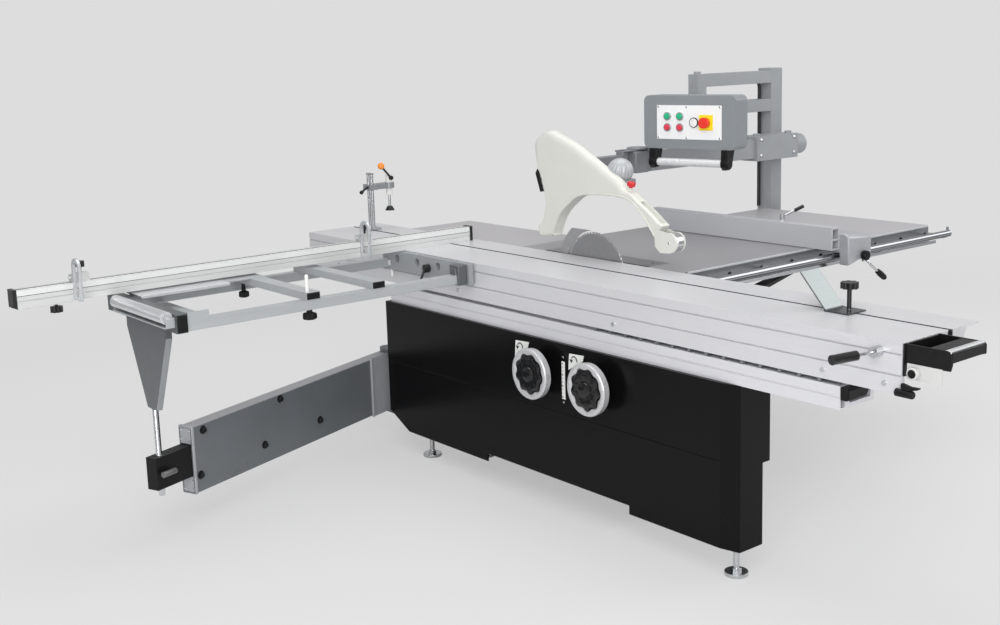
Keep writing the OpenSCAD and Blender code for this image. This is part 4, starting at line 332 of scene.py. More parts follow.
# push handle with its black grip
PUSH_X, PUSH_Y, PUSH_Z, PUSH_TURN, PUSH_REACH = -411, -1590, 851.5, math.radians(-10), 74
push = Material("push_steel", streaked((196, 197, 200), 0.2, EVEN), Surface(0.1, 400, 0.001))
c, s = math.cos(PUSH_TURN), math.sin(PUSH_TURN)
grip_at = pt(PUSH_X - PUSH_REACH * c, PUSH_Y - PUSH_REACH * s, PUSH_Z)
push.zone(push.half_mask(grip_at, (-c, -s, 0)), Finish((22, 22, 23), 0.18, vary=0.1, scale=60))
push.on("push_handle")

# edging shoe: dark foot, black knob on a black stem
SHOE_FOOT_Z, SHOE_X, SHOE_Y, SHOE_KNOB, SHOE_STEM = 893, -158, -1315, (958, 0.044), (896, 0.012)
shoe = Material("shoe_steel", streaked((126, 131, 131), 0.14, ALONG_X, metal=0.9), Surface(0.04, 400, 0.001))
shoe.zone(shoe.half_mask(pt(0, 0, SHOE_FOOT_Z), DOWN), Finish((84, 86, 88), 0.25, 0.8))
for from_z, reach in (SHOE_KNOB, SHOE_STEM):
    above = shoe.half_mask(pt(0, 0, from_z), UP)
    shoe.zone(shoe.math("MULTIPLY", above, shoe.round_mask(pt(SHOE_X, SHOE_Y, 0), UP, reach)), BLACK_MOULD)
shoe.on("edge_shoe")

# crosscut table and its clamp
cross_silver = Finish((168, 171, 173), 0.34, 0.08, vary=0.05, scale=16, stretch=(0.1, 1, 1))
cross = Material("cross_silver", cross_silver, POWDER)
end_tube = cross.box_mask(pt(-1641, 280, 800), pt(-1599, 880, 880))
cross.zone(end_tube, Finish((76, 81, 83), 0.36, 0.05))
cross.on("cross_frame")
clamp_silver = Finish((148, 151, 155), 0.34, 0.12, vary=0.05, scale=16, stretch=(1, 0.1, 1))
Material("clamp_silver", clamp_silver, POWDER).on("cross_clamp")
Material("lever_black", BLACK_MOULD, Surface(0.3, 700, 0.002)).on("clamp_lever")

# crosscut fence: painted shade in its top slot, pale front strip over a dark line of painted shadow in place
# of a step, black ends, knobs and feet
FENCE_FROM, FENCE_TO, FENCE_CAP_Z, FENCE_FOOT_Z = -2006, -56, 977.5, 879.5
fence_alu = streaked((214, 215, 214), 0.34, ALONG_X, metal=0.3, vary=0.02)
fence = Material("fence_alu", fence_alu, Surface(0.08, 420, 0.0015, ALONG_X))
# the first row paints shade into the top slot, the last a shadow line under the pale strip
for low, high, finish in (
    ((757, 936), (771, 946.6), Finish((60, 61, 63), 0.5, 0.4)),
    ((738, 926), (744, 945), Finish((226, 228, 227), 0.36, 0.15, vary=0.03)),
    ((738, 924), (744, 926), Finish((70, 71, 72), 0.5, 0.3)),
):
    fence.zone(fence.box_mask(pt(FENCE_FROM, *low), pt(FENCE_TO, *high)), finish)
for x0, x1 in ((-2021, -2005.8), (-56.2, -41)):
    fence.zone(fence.box_mask(pt(x0, 730, 880), pt(x1, 800, 955)), BLACK_MOULD)
fence.zone(fence.half_mask(pt(0, 0, FENCE_CAP_Z), UP), BLACK_MOULD)
fence.zone(fence.half_mask(pt(0, 0, FENCE_FOOT_Z), DOWN), BLACK_MOULD)
fence.on("cross_fence")
stop_alu = Finish((206, 209, 211), 0.3, 0.6, vary=0.05, scale=60)
Material("stop_alu", stop_alu, Surface(0.3, 600, 0.003)).on("stop_outer", "stop_inner")

# hold down clamp: white plunger with a zinc rod and a black foot, orange ball on its lever
PIVOT_X, PIVOT_Y, PIVOT_Z = -54, 1340, 1123
LEVER_TURN, LEVER_REACH, BALL_RADIUS = math.radians(42), 80, 0.0165
Material("hold_steel", streaked((188, 190, 193), 0.24, ALONG_Z), Surface(0.15, 400, 0.002)).on("hold_posts")
hold_cast = Finish((150, 153, 156), 0.36, 0.5, vary=0.07, scale=60)
Material("hold_cast", hold_cast, Surface(0.4, 600, 0.003)).on("hold_arm_part")
plunger_white = Finish((222, 223, 219), 0.28, vary=0.03, scale=40)
plunger = Material("plunger_white", plunger_white, Surface(0.15, 400, 0.002))
for top_z, finish in ((1041, ZINC), (990, BLACK_MOULD)):
    plunger.zone(plunger.box_mask(pt(-100, 1300, 900), pt(10, 1420, top_z)), finish)
plunger.on("hold_plunger")
lean, rise = LEVER_REACH * math.sin(LEVER_TURN), LEVER_REACH * math.cos(LEVER_TURN)
lever = Material("lever_orange", BLACK_MOULD, Surface(0.1, 400, 0.001))
ball = lever.ball_mask(pt(PIVOT_X - lean, PIVOT_Y, PIVOT_Z + rise), BALL_RADIUS)
lever.zone(ball, Finish((240, 140, 50), 0.25, vary=0.05, scale=60))
lever.on("hold_lever")

# blades: brighter band of the teeth
ARBOR_Z, TEETH_FROM, TEETH_TO = 824, 0.158, 0.2
blade_steel = Finish((148, 148, 150), 0.36, 0.7, vary=0.10, rough_vary=0.08, scale=60)
blade = Material("blade_steel", blade_steel, SAWN)
teeth = blade.round_mask(pt(0, 0, ARBOR_Z), X_WAY, TEETH_TO, TEETH_FROM)
blade.zone(teeth, Finish((188, 188, 190), 0.25, 1.0))
blade.on("saw_blade")
knife_steel = Finish((168, 168, 170), 0.38, 0.7, vary=0.10, scale=60)
Material("knife_steel", knife_steel, SAWN).on("scoring_blade", "riving_knife")

# rip fence, its carrier and its lever with a black grip
GRIP_FROM, LEVER_HUB, LEVER_WAY = 60, pt(749, -325.6, 987), Vector((0.791, -0.457, 0.407))
carrier_alu = Finish((168, 170, 175), 0.36, 0.25, vary=0.05, scale=40)
carrier_mat = Material("carrier_alu", carrier_alu, Surface(0.3, 600, 0.006)).done()
rip_alu = streaked((192, 193, 197), 0.34, ALONG_Y, metal=0.3, vary=0.02)
Material("rip_alu", rip_alu, Surface(0.06, 420, 0.0015, DRAWN_Y)).on("rip_fence")
rip_lever = Material("rip_chrome", CHROME, SMOOTH)
rip_grip = rip_lever.half_mask(LEVER_HUB + LEVER_WAY * GRIP_FROM * MM, LEVER_WAY)
rip_lever.zone(rip_grip, BLACK_MOULD)
rip_lever.on("rip_lever")

# guard and its dome
guard_white = Finish((210, 211, 204), 0.36, vary=0.02, rough_vary=0.04, scale=12)
guard_mat = Material("guard_white", guard_white, Surface(0.1, 300, 0.003, coat=0.1)).done()
dome_grey = Finish((172, 175, 178), 0.24, 0.1, vary=0.05, scale=40)
dome_mat = Material("dome_grey", dome_grey, Surface(0.15, 400, 0.002, coat=0.2)).done()


# control panel: white front, yellow square under the emergency stop, grey squares under the buttons
def panel_coords(material):
    """The rest coordinates turned into the panel's own: along its face, behind it, above its lower edge."""
    corner = Matrix.Rotation(PANEL_ANGLE, 3, "Z") @ on_panel(0, 0, 0)
    inputs = {"Vector": material.coord, "Rotation": (0, 0, PANEL_ANGLE), "Location": -corner}
    return material.add("Mapping", inputs, vector_type="POINT").outputs["Vector"]


def panel_zone(material, coords, low, high, finish):
    """A finish inside a box of the panel's own coordinates, in mm."""
    material.zone(material.box_mask(Vector(low) * MM, Vector(high) * MM, coords), finish)


PANEL_MID, SQUARE, LINK_TOP_Z = 115, 19, 1459
panel_grey = Finish((136, 141, 145), 0.36, 0.05, vary=0.03, scale=14)
panel = Material("panel_grey", panel_grey, Surface(0.35, 800, 0.002))
on_face = panel_coords(panel)
front_white = Finish((240, 241, 241), 0.35, vary=0.015, scale=30)
panel_zone(panel, on_face, (-158.5, -30, 41.5), (158.5, -0.4, 188.5), front_white)
stop_yellow = Finish((250, 226, 30), 0.35, vary=0.03, scale=30)
panel_zone(panel, on_face, (50.5, -30, 81.5), (117.5, -2.2, 148.5), stop_yellow)
for u in (-104, -42):
    for v in (PANEL_MID + 26, PANEL_MID - 22):
        low, high = (u - SQUARE, -9, v - SQUARE), (u + SQUARE, -2.4, v + SQUARE)
        panel_zone(panel, on_face, low, high, Finish((196, 199, 201), 0.25, 0.7))
panel.on("control_panel")
bar_link = Material("panel_link", BLACK_SATIN, Surface(0.3, 400, 0.003))
bar_white = Finish((224, 225, 226), 0.3, 0.2)
panel_zone(bar_link, panel_coords(bar_link), (-166, -20, -75), (166, 40, -40), bar_white)
bar_link.zone(bar_link.half_mask(pt(0, 0, LINK_TOP_Z), UP), Finish((150, 153, 156), 0.4))
bar_link.on("panel_link")
button_green = Finish((45, 182, 135), 0.25, vary=0.06, scale=60)
Material("button_green", button_green, BUTTON).on("start_main", "start_score")
button_red = Finish((222, 62, 84), 0.25, vary=0.06, scale=60)
Material("button_red", button_red, BUTTON).on("stop_main", "stop_score")
mushroom_red = Finish((236, 52, 40), 0.25, vary=0.05, scale=60)
Material("mushroom_red", mushroom_red, Surface(0.05, 400, 0.006)).on("e_stop")
selector_white = Finish((236, 237, 236), 0.3, vary=0.02, scale=60)
Material("selector_white", selector_white, BUTTON).on("selector")


# pieces that the solids leave out, each riding on the body that carries it
SHARP_ANGLE, BEVEL_ANGLE, FLAT_ANGLE = math.radians(35), math.radians(40), math.radians(1)
WELD_REACH = 0.00002


def new_object(name, data):
    """A new object, linked into the scene."""
    obj = bpy.data.objects.new(name, data)
    bpy.context.scene.collection.objects.link(obj)
    return obj


class Piece:
    """One mesh of blocks, prisms, turned forms and tubes in mm, placed by a function of three lengths."""

    def __init__(self, name, body, material, place=pt):
        self.name, self.body, self.material, self.place = name, body, material, place
        self.bm = bmesh.new()

    def add(self, points, faces):
        verts = [self.bm.verts.new(self.place(*p)) for p in points]
        for f in faces:
            self.bm.faces.new([verts[i] for i in f])
        return self

    def rings(self, points, n, closed=False):
        """Rings of n points each, joined in order, with flat ends or with the last joined to the first."""
        rows, faces = len(points) // n, []
        for j in range(rows if closed else rows - 1):
            a, b = j * n, (j + 1) % rows * n
            faces += [(a + k, a + (k + 1) % n, b + (k + 1) % n, b + k) for k in range(n)]
        if not closed:
            faces += [tuple(range(n))[::-1], tuple(range((rows - 1) * n, rows * n))]
        return self.add(points, faces)

    def prism(self, outline, axis, a, b):
        """An outline in the plane across an axis, drawn out from a to b along it."""
        at = {"x": lambda p, t: (t, *p), "y": lambda p, t: (p[0], t, p[1]), "z": lambda p, t: (*p, t)}[axis]
        return self.rings([at(p, t) for t in (a, b) for p in outline], len(outline))

    def block(self, low, high):
        (x0, y0, z0), (x1, y1, z1) = low, high
        return self.prism([(x0, y0), (x1, y0), (x1, y1), (x0, y1)], "z", z0, z1)

    def turned(self, start, way, profile, segments=40, lobes=0, closed=False):
        """A profile turned about a line from start along way: distance from start, radius and, where there
        are lobes, their depth as a share of the radius."""
        start, axis = Vector(start), Vector(way).normalized()
        side = axis.orthogonal().normalized()
        other = axis.cross(side)
        points = []
        for along, radius, *wave in profile:
            for k in range(segments):
                t = 2 * math.pi * k / segments
                r = radius * (1 + sum(wave) * math.cos(lobes * t))
                spot = start + axis * along + side * (r * math.cos(t)) + other * (r * math.sin(t))
                points.append(tuple(spot))
        return self.rings(points, segments, closed)

    def tube(self, path, radius, segments=12):
        """A round tube along a path; radius is one length, or one for each point."""
        path = [Vector(p) for p in path]
        radii = radius if isinstance(radius, list) else [radius] * len(path)
        side, points = None, []
        for i, p in enumerate(path):
            way = (path[min(i + 1, len(path) - 1)] - path[max(i - 1, 0)]).normalized()
            side = way.orthogonal() if side is None else side - way * side.dot(way)
            side.normalize()
            other = way.cross(side)
            for k in range(segments):
                t = 2 * math.pi * k / segments
                points.append(tuple(p + (side * math.cos(t) + other * math.sin(t)) * radii[i]))
        return self.rings(points, segments)

    def bolt(self, at, way, d, h):
        """A bolt head on a washer, from a point of the surface along way."""
        self.turned(at, way, [(-1, d * 0.72), (1.2, d * 0.72), (1.6, d * 0.68)], 24)
        return self.turned(at, way, [(1, d / 2), (h * 0.8, d / 2), (h, d * 0.42)], 6)

    def knob(self, at, way, d, h, lobes=7):
        """A lobed hand knob on a short stem."""
        self.turned(at, way, [(-2, d * 0.2), (h * 0.4, d * 0.2)], 20)
        shares = [(0.35, 0.36, 0.08), (0.42, 0.44, 0.1), (0.84, 0.45, 0.1), (0.95, 0.4, 0.08),
                  (1.0, 0.26, 0.02)]
        return self.turned(at, way, [(h * a, d * r, w) for a, r, w in shares], 56, lobes)

    def done(self, bevel=0.0):
        """Closes the mesh, rounds its edges by a width in mm and lets it ride on its body."""
        mesh = bpy.data.meshes.new(self.name)
        bmesh.ops.recalc_face_normals(self.bm, faces=self.bm.faces)
        self.bm.to_mesh(mesh)
        self.bm.free()
        mesh.shade_smooth()
        mesh.set_sharp_from_angle(angle=SHARP_ANGLE)
        obj = new_object(self.name, mesh)
        mesh.materials.append(self.material)
        if bevel > 0:
            add_bevel(obj, bevel, 2, BEVEL_ANGLE)
        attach(obj, self.body)
        return obj


def add_bevel(obj, width, segments, angle):
    soft = obj.modifiers.new("soft_edges", "BEVEL")
    soft.width, soft.segments, soft.limit_method, soft.angle_limit = width * MM, segments, "ANGLE", angle


def soften(width, *names):
    """Rounds the sharp edges of CAD nodes by modifiers: flat faces joined first, then bevelled."""
    for name in names:
        obj = nodes[name]
        obj.modifiers.new("weld", "WELD").merge_threshold = WELD_REACH
        flat = obj.modifiers.new("flat", "DECIMATE")
        flat.decimate_type, flat.angle_limit = "DISSOLVE", FLAT_ANGLE
        add_bevel(obj, width, 3, SHARP_ANGLE)


def smooth_path(points, steps=6):
    """Points of a Catmull-Rom curve through the given ones."""
    out = []
    for i in range(len(points) - 1):
        p = [Vector(points[max(0, min(len(points) - 1, i + k))]) for k in (-1, 0, 1, 2)]
        for j in range(steps):
            t = j / steps
            out.append(0.5 * (2 * p[1] + (p[2] - p[0]) * t + (2 * p[0] - 5 * p[1] + 4 * p[2] - p[3]) * t ** 2
                              + (3 * p[1] - p[0] - 3 * p[2] + p[3]) * t ** 3))
    return out + [Vector(points[-1])]


def plain(name, finish, bump=0.2, bump_scale=500, spec=0.5):
    """A one-finish material for a piece."""
    return Material(name, finish, Surface(bump, bump_scale, spec=spec)).done()


mould = plain("piece_black", BLACK_MOULD, 0.3, 700, spec=0.2)
satin = plain("piece_satin", BLACK_SATIN, 0.3, 600)
bright = plain("piece_bright", ZINC, 0.1)
polished = plain("piece_chrome", CHROME, 0.05)
pale_grey = plain("piece_grey", Finish((154, 156, 160), 0.36, vary=0.04, scale=14))
dark_grey = plain("piece_dark", Finish((84, 87, 90), 0.4, vary=0.05, scale=20))
pale_alu = plain("piece_alu", Finish((206, 208, 210), 0.34, 0.45, vary=0.04, scale=50))
white = plain("piece_white", Finish((226, 227, 224), 0.36, vary=0.02, scale=40))
ink = plain("piece_ink", Finish((30, 30, 32), 0.5, vary=0.05, scale=60))
signal_red = plain("piece_red", Finish((206, 30, 36), 0.28, vary=0.05, scale=60), 0.05)
wheel_silver = plain("piece_wheel", Finish((196, 196, 198), 0.30, 0.3, vary=0.015, scale=50), 0.02)
wheel_black = plain("piece_star", Finish((13, 13, 14), 0.16, vary=0.05, rough_vary=0.02, scale=50), 0.05)
grip_white = plain("piece_grip", Finish((226, 227, 228), 0.3, 0.2, vary=0.02, scale=40))
guard_bead = plain("piece_guard", Finish((208, 209, 202), 0.34, vary=0.02, scale=12), 0.1)
flank_steel = plain("piece_flank", Finish((92, 97, 97), 0.2, 0.85, vary=0.05, scale=40), 0.05)
roller_grey = plain("piece_roller", Finish((200, 200, 199), 0.4, vary=0.03, scale=40))

# handwheels
FACE_X, WHEEL_X, WHEEL_Z, RAISE_Y, TILT_Y = -412, -470, 530, -148, -455
WHEEL_LOBES, DOT_X, DOT_R = 9, -486.5, 47
RIM = [(-16, 90), (-14, 94), (10, 96), (14, 93), (15, 86), (14, 78, 0.03), (11, 74, 0.05), (-10, 74, 0.05),
       (-14, 80, 0.01), (-16, 86)]
STAR = [(-10, 80), (-6, 80), (-4, 70, 0.08), (10, 71, 0.08), (15, 70, 0.08), (17, 66, 0.08), (18, 52, 0.05),
        (16, 42), (16, 30), (22, 27), (24, 22), (24, 2)]


def dress_wheel(tag, body, y):
    """Handwheel: silver rim with a scalloped inner edge, black web, lobed star and hub on its shaft."""
    at = (WHEEL_X, y, WHEEL_Z)
    rim = Piece(tag + "_rim", body, wheel_silver).turned(at, LEFT, RIM, 96, WHEEL_LOBES, closed=True)
    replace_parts(rim.done(), tag + "_wheel")
    star = Piece(tag + "_star", body, wheel_black).turned(at, LEFT, STAR, 108, WHEEL_LOBES)
    star.turned((FACE_X + 4, y, WHEEL_Z), LEFT, [(0, 11.8), (50, 11.8), (54, 24)])
    for k in range(WHEEL_LOBES):
        t = 2 * math.pi * (k + 0.5) / WHEEL_LOBES
        spot = (DOT_X, y + DOT_R * math.cos(t), WHEEL_Z + DOT_R * math.sin(t))
        star.turned(spot, LEFT, [(-2, 6), (1.5, 5.5), (2, 3)], 20)
    star.done()


dress_wheel("raise", "wheel_raise", RAISE_Y)
dress_wheel("tilt", "wheel_tilt", TILT_Y)

# tags, tilt scale and bearing collars beside the handwheels
ARROW_R, ARROW_Z, ARROW_FROM, ARROW_STEP = 15, 600, 190, 20
TILT_DOTS, TILT_FROM, TILT_STEP, BIG_DOT, SMALL_DOT = 10, 452, 14, 2.8, 1.7
piece = Piece("wheel_tags", "machine", white)
for y in (-31, -335):
    piece.prism([(y - 40, 626), (y - 33, 604), (y + 44, 560), (y + 38, 622)], "x", FACE_X - 2, FACE_X + 1)
piece.prism([(-271, 444), (-254, 444), (-254, 586), (-271, 586)], "x", FACE_X - 2, FACE_X + 1)
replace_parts(piece.done(0.6), "wheel_plates")
piece = Piece("wheel_collars", "machine", satin)
collar = [(0, 23), (12, 23), (15, 20), (15, 12.2), (0, 12.2)]
for y in (RAISE_Y, TILT_Y):
    piece.turned((FACE_X + 1, y, WHEEL_Z), LEFT, collar, 48, closed=True)
piece.done()
piece = Piece("wheel_arrows", "machine", ink)
turns = [math.radians(ARROW_FROM - ARROW_STEP * k) for k in range(9)]
for y in (-20, -324):
    arc = [(FACE_X - 2.3, y + ARROW_R * math.cos(a), ARROW_Z + ARROW_R * math.sin(a)) for a in turns]
    piece.tube(arc, 2.2, 8)
    head = [(y + 6, ARROW_Z + 2), (y + 24, ARROW_Z + 2), (y + 15, ARROW_Z - 11)]
    piece.prism(head, "x", FACE_X - 3.4, FACE_X - 1.5)
piece.done()
piece = Piece("tilt_dots", "machine", ink)
for k in range(TILT_DOTS):
    z = TILT_FROM + TILT_STEP * k
    r = BIG_DOT if k % 3 == 0 else SMALL_DOT
    piece.turned((FACE_X - 1.5, -259, z), LEFT, [(0, r), (0.9, r), (1.2, r * 0.7)], 16)
piece.done()
piece = Piece("tilt_screws", "machine", bright)
for z in (433, 602):
    piece.turned((FACE_X, -262, z), LEFT, [(-1, 4.5), (1.6, 4.5), (2.6, 3)], 20)
piece.done()

# end cap of the fixed rail
piece = Piece("rail_cap", "machine", mould)
piece.prism([(-394, 680), (-300, 680), (-284, 700), (-284, 720), (-394, 720)], "y", -1484, -1460)
piece.prism([(-390, 684), (-304, 684), (-292, 700), (-292, 714), (-390, 714)], "y", -1488, -1483).done(2)

# control panel: grip over the bar, hooks that carry it, ring of the selector, screws
BAR_OUT, BAR_V, BAR_HALF, SELECTOR_U = -6.5, -58, 158, 26
grip = [(0, 15), (2, 16.8), (2 * BAR_HALF - 2, 16.8), (2 * BAR_HALF, 15)]
Piece("panel_grip", "panel", grip_white, on_panel).turned((-BAR_HALF, BAR_OUT, BAR_V), X_WAY, grip).done()
piece = Piece("panel_hooks", "panel", mould, on_panel)
for u in (-176.5, 176.5):
    piece.turned((u - 19, BAR_OUT, BAR_V), X_WAY, [(0, 21), (3, 24), (35, 24), (38, 21)])
    piece.prism([(-50, 1), (10, 1), (14, BAR_V), (-28, BAR_V - 8)], "x", u - 17, u + 17)
piece.done(3)
piece = Piece("selector_ring", "panel", mould, on_panel)
ring = [(0, 21.5), (5, 21.5), (6.5, 20), (6.5, 18.4), (0, 18.4)]
piece.turned((SELECTOR_U, 1.5, PANEL_MID), Y_WAY, ring, 48, closed=True).done()
piece = Piece("panel_screws", "panel", bright, on_panel)
for u in (-150, -10, 150):
    for v in (49, 181):
        piece.turned((u, 1.5, v), Y_WAY, [(0, 5), (1.4, 5), (2.4, 3.6), (2.8, 1.5)], 20)
piece.done()

# guard: shell with an open nose and a slotted arm, rims, latch, knob, roller, ribbed dome
GUARD_LEFT, GUARD_RIGHT, SLOT_LEFT, SLOT_RIGHT, SLOT_DEEP = -28, 22, -13, 9, 12
NOSE_Y, NOSE_Z, NOSE_R, KNOB_WAY = -426, 991.5, 38, (0, -8, 26)
DOME_AT, DOME_WAY, DOME_R, DOME_RIBS, RIB_DEPTH = (48, -98, 1233), (0, -22, 97), 50, 20, 0.03
DOME_FROM, DOME_STEP, DOME_BANDS = -32, 4, 30
TOP = [(310, 1231), (330, 1300), (322, 1340), (290, 1364), (240, 1381), (178, 1362), (91, 1331), (33, 1302),
       (-18, 1277), (-152, 1206), (-186, 1175), (-222, 1161), (-268, 1131), (-319, 1100), (-389, 1050)]
ARCH = [(-352, 1008), (-284, 1087), (-192, 1140), (32, 1135), (122, 1092), (184, 1036), (217, 972),
        (219, 956)]
REAR = [(302, 953), (310, 984), (277, 1018), (259, 1081), (267, 1132)]
# lengthwise lines of the shell: x, how far the hood, the arm and the rest of the outline are drawn in there
SHELL_LINES = [(GUARD_LEFT, 34, 14, 6), (GUARD_LEFT, 22, 5, 0), (-25, 11, 1.5, 0), (-20, 4, 0, 0),
               (SLOT_LEFT, 0, 0, 0), (SLOT_RIGHT, 0, 0, 0), (14, 4, 0, 0), (19, 11, 1.5, 0),
               (GUARD_RIGHT, 22, 5, 0), (GUARD_RIGHT, 34, 14, 6)]
# the line left of the slot, steps of the curve between two points, and points of TOP where the shape changes
SLOT_LINE, CURVE_STEPS = 4, 4
HOOD_END, ARM_START, SLOT_START, SLOT_END = 9, 11, 12, 14


def guard_shell():
    """The hood and its arm as one closed skin with rounded shoulders, and a slot sunk into the arm's top."""
    top = [tuple(q) for q in smooth_path(TOP, CURVE_STEPS)]
    loop = [Vector(q) for q in top + smooth_path(ARCH, CURVE_STEPS) + REAR]
    first, last = CURVE_STEPS * SLOT_START, CURVE_STEPS * SLOT_END - 1
    n, rows = len(loop), len(SHELL_LINES)
    ways = [(loop[(i + 1) % n] - loop[i - 1]).normalized() for i in range(n)]
    inward = [Vector((-w.y, w.x)) for w in ways]

    def drawn_in(i, hood, arm, rest):
        if i >= len(top):
            return rest
        share = i / CURVE_STEPS
        if share < 1:
            return rest + (hood - rest) * share
        blend = min(1.0, max(0.0, (share - HOOD_END) / (ARM_START - HOOD_END)))
        return hood + (arm - hood) * blend

    points = []
    for x, *shape in SHELL_LINES:
        points += [(x, *(loop[i] + inward[i] * drawn_in(i, *shape))) for i in range(n)]
    faces = [tuple(range(n)), tuple(range((rows - 1) * n, rows * n))[::-1]]
    for c in range(rows - 1):
        for i in range(n):
            if c == SLOT_LINE and first <= i < last:
                continue
            j = (i + 1) % n
            faces.append((c * n + i, c * n + j, (c + 1) * n + j, (c + 1) * n + i))
    sunk, left, right = len(points), SLOT_LINE * n, (SLOT_LINE + 1) * n
    for i in range(first, last + 1):
        deep = loop[i] + inward[i] * SLOT_DEEP
        points += [(SLOT_LEFT, *deep), (SLOT_RIGHT, *deep)]
    for i in range(first, last):
        k = sunk + 2 * (i - first)
        faces.append((left + i, left + i + 1, k + 2, k))
        faces.append((right + i, k + 1, k + 3, right + i + 1))
        faces.append((k, k + 2, k + 3, k + 1))
    end = sunk + 2 * (last - first)
    faces += [(left + first, sunk, sunk + 1, right + first), (left + last, right + last, end + 1, end)]
    shell = Piece("guard_shell", "hood", guard_mat).add(points, faces)
    turns = [math.radians(70 + 10 * k) for k in range(21)]
    nose = [(NOSE_Y + NOSE_R * math.cos(a), NOSE_Z + NOSE_R * math.sin(a)) for a in turns]
    cheek = nose + [(-382, 950), (-356, 971), (-352, 1008), (-372, 1036)]
    for x0, x1 in ((GUARD_LEFT, -19), (18, GUARD_RIGHT + 2)):
        shell.prism(cheek, "x", x0, x1)
    return shell.done(2)


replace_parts(guard_shell(), "guard")
for side, x in (("left", GUARD_LEFT), ("right", GUARD_RIGHT)):
    rim = smooth_path([(x, y, z + 4) for y, z in ARCH])
    Piece("guard_rim_" + side, "hood", guard_bead).tube(rim, 3.5, 10).done()
piece = Piece("guard_latch", "hood", mould)
piece.prism([(270, 1138), (290, 1130), (318, 1206), (306, 1224), (294, 1210)], "x", -32, -6)
piece.block((-34, 282, 1150), (-30, 296, 1190)).done(2.5)
piece = Piece("guard_knob_base", "hood", guard_bead)
piece.turned((0, -198, 1164), KNOB_WAY, [(0, 13), (6, 13), (9, 9), (16, 8)], 28).done()
Piece("guard_knob", "hood", signal_red).knob((0, -201, 1175), KNOB_WAY, 33, 28).done()
piece = Piece("nose_roller", "hood_roller", bright)
piece.turned((-17, NOSE_Y, NOSE_Z), X_WAY, [(0, 34), (2, 36), (32, 36), (34, 34)], 64)
piece.turned((-29, NOSE_Y, NOSE_Z), X_WAY, [(0, 5), (1, 6), (54, 6), (55, 5)], 24)
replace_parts(piece.done(), "guard_roller")
bands = [math.radians(DOME_FROM + DOME_STEP * k) for k in range(DOME_BANDS)]
ribs = [(DOME_R * math.sin(a), DOME_R * math.cos(a), RIB_DEPTH * math.cos(a)) for a in bands] + [(DOME_R, 1)]
piece = Piece("dome", "hood", dome_mat).turned(DOME_AT, DOME_WAY, ribs, 120, DOME_RIBS)
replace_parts(piece.done(), "guard_port")

# link of the guard: plate and disc over the guard arm's end, bar behind the guard, bent foot beside it
piece = Piece("link_bar", "link", link_mat)
piece.block((244, 380, 1188), (560, 428, 1232))
piece.block((530, 382, 1190), (562, 426, 1252))
piece.block((532, 372, 1244.5), (702, 436, 1252))
piece.turned((645, 404, 1251), UP, [(0, 50), (6, 50), (8, 46)], 48)
foot = [(54, -148), (84, -148), (84, 240), (262, 382), (300, 382), (300, 426), (245, 426), (54, 278)]
piece.prism(foot, "z", 1177, 1203)
piece.turned((GUARD_RIGHT - 1, -133.5, 1189.5), X_WAY, [(0, 12.5), (36, 12.5)], 32)
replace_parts(piece.done(3), "guard_link")
piece = Piece("boom_cap", "machine", link_mat)
piece.block((587, 357, 1148), (668, 451, 1243.5))
piece.block((664, 358.5, 1152), (690, 449.5, 1242.5)).done(4)

# swing arm: bolts, end frame and hinge plate
ARM_FACE, END_FROM, END_TO, END_IN, END_OUT = 30, 1256, 1269, 25.2, 33
piece = Piece("arm_bolts", "arm", mould, on_arm)
for r, z in ((1209, 362), (777, 367), (881, 208), (538, 214), (1236, 197)):
    piece.bolt((r, ARM_FACE, z), Y_WAY, 22, 12)
piece.done()
piece = Piece("arm_end", "arm", pale_grey, on_arm)
for z0, z1 in ((130, 199.5), (320.5, 390)):
    piece.block((END_FROM, -END_OUT, z0), (END_TO, END_OUT, z1))
for side in (-1, 1):
    inner, outer = side * END_IN, side * END_OUT
    piece.prism([(END_FROM, inner), (END_TO, inner), (END_TO, outer), (END_FROM, outer)], "z", 199, 321)
piece.done(3)
piece = Piece("arm_end_screws", "arm", bright, on_arm)
for side in (-20, 20):
    for z in (148, 182, 338, 372):
        piece.bolt((END_TO, side, z), X_WAY, 7, 4)
piece.done()
piece = Piece("arm_hinge_plate", "arm", pale_grey, on_arm)
piece.block((14, 29, 128), (178, 36, 392)).block((170, 30, 128), (180, 41, 392)).done(2)

# crosscut table: caps, knobs, end block and plate under the fence
piece = Piece("cross_caps", "crosscut", mould).block((-1638, 281, 808), (-1602, 288, 868))
for x in (-1142, -862):
    piece.block((x + 2, 284, 847), (x + 54, 291, 871))
piece.done(3)
piece = Piece("cross_end_block", "crosscut", dark_grey)
piece.block((-470, 279, 803), (-427, 338, 882)).block((-476, 290, 812), (-468, 328, 872)).done(4)
piece = Piece("cross_knobs", "crosscut", mould).knob((-1126, 302, 810), DOWN, 54, 38)
piece.turned((-1128, 796, 846), DOWN, [(0, 7), (30, 7)], 20)
piece.knob((-1128, 796, 824), DOWN, 42, 38).done()
piece = Piece("cross_rods", "crosscut", white)
piece.turned((-1131, 302, 870), UP, [(0, 6.5), (64, 6.5), (67, 4.5)], 24)
piece.turned((-416, 822, 768), UP, [(0, 5), (2, 6.5), (104, 6.5)], 24)
piece.block((-428, 818, 816), (-408.5, 833, 838)).done()
piece = Piece("cross_plate", "crosscut", pale_alu)
piece.block((-1598, 664, 873.5), (-1250, 789, 879)).block((-1598, 660, 868), (-1250, 666, 879)).done(1.5)

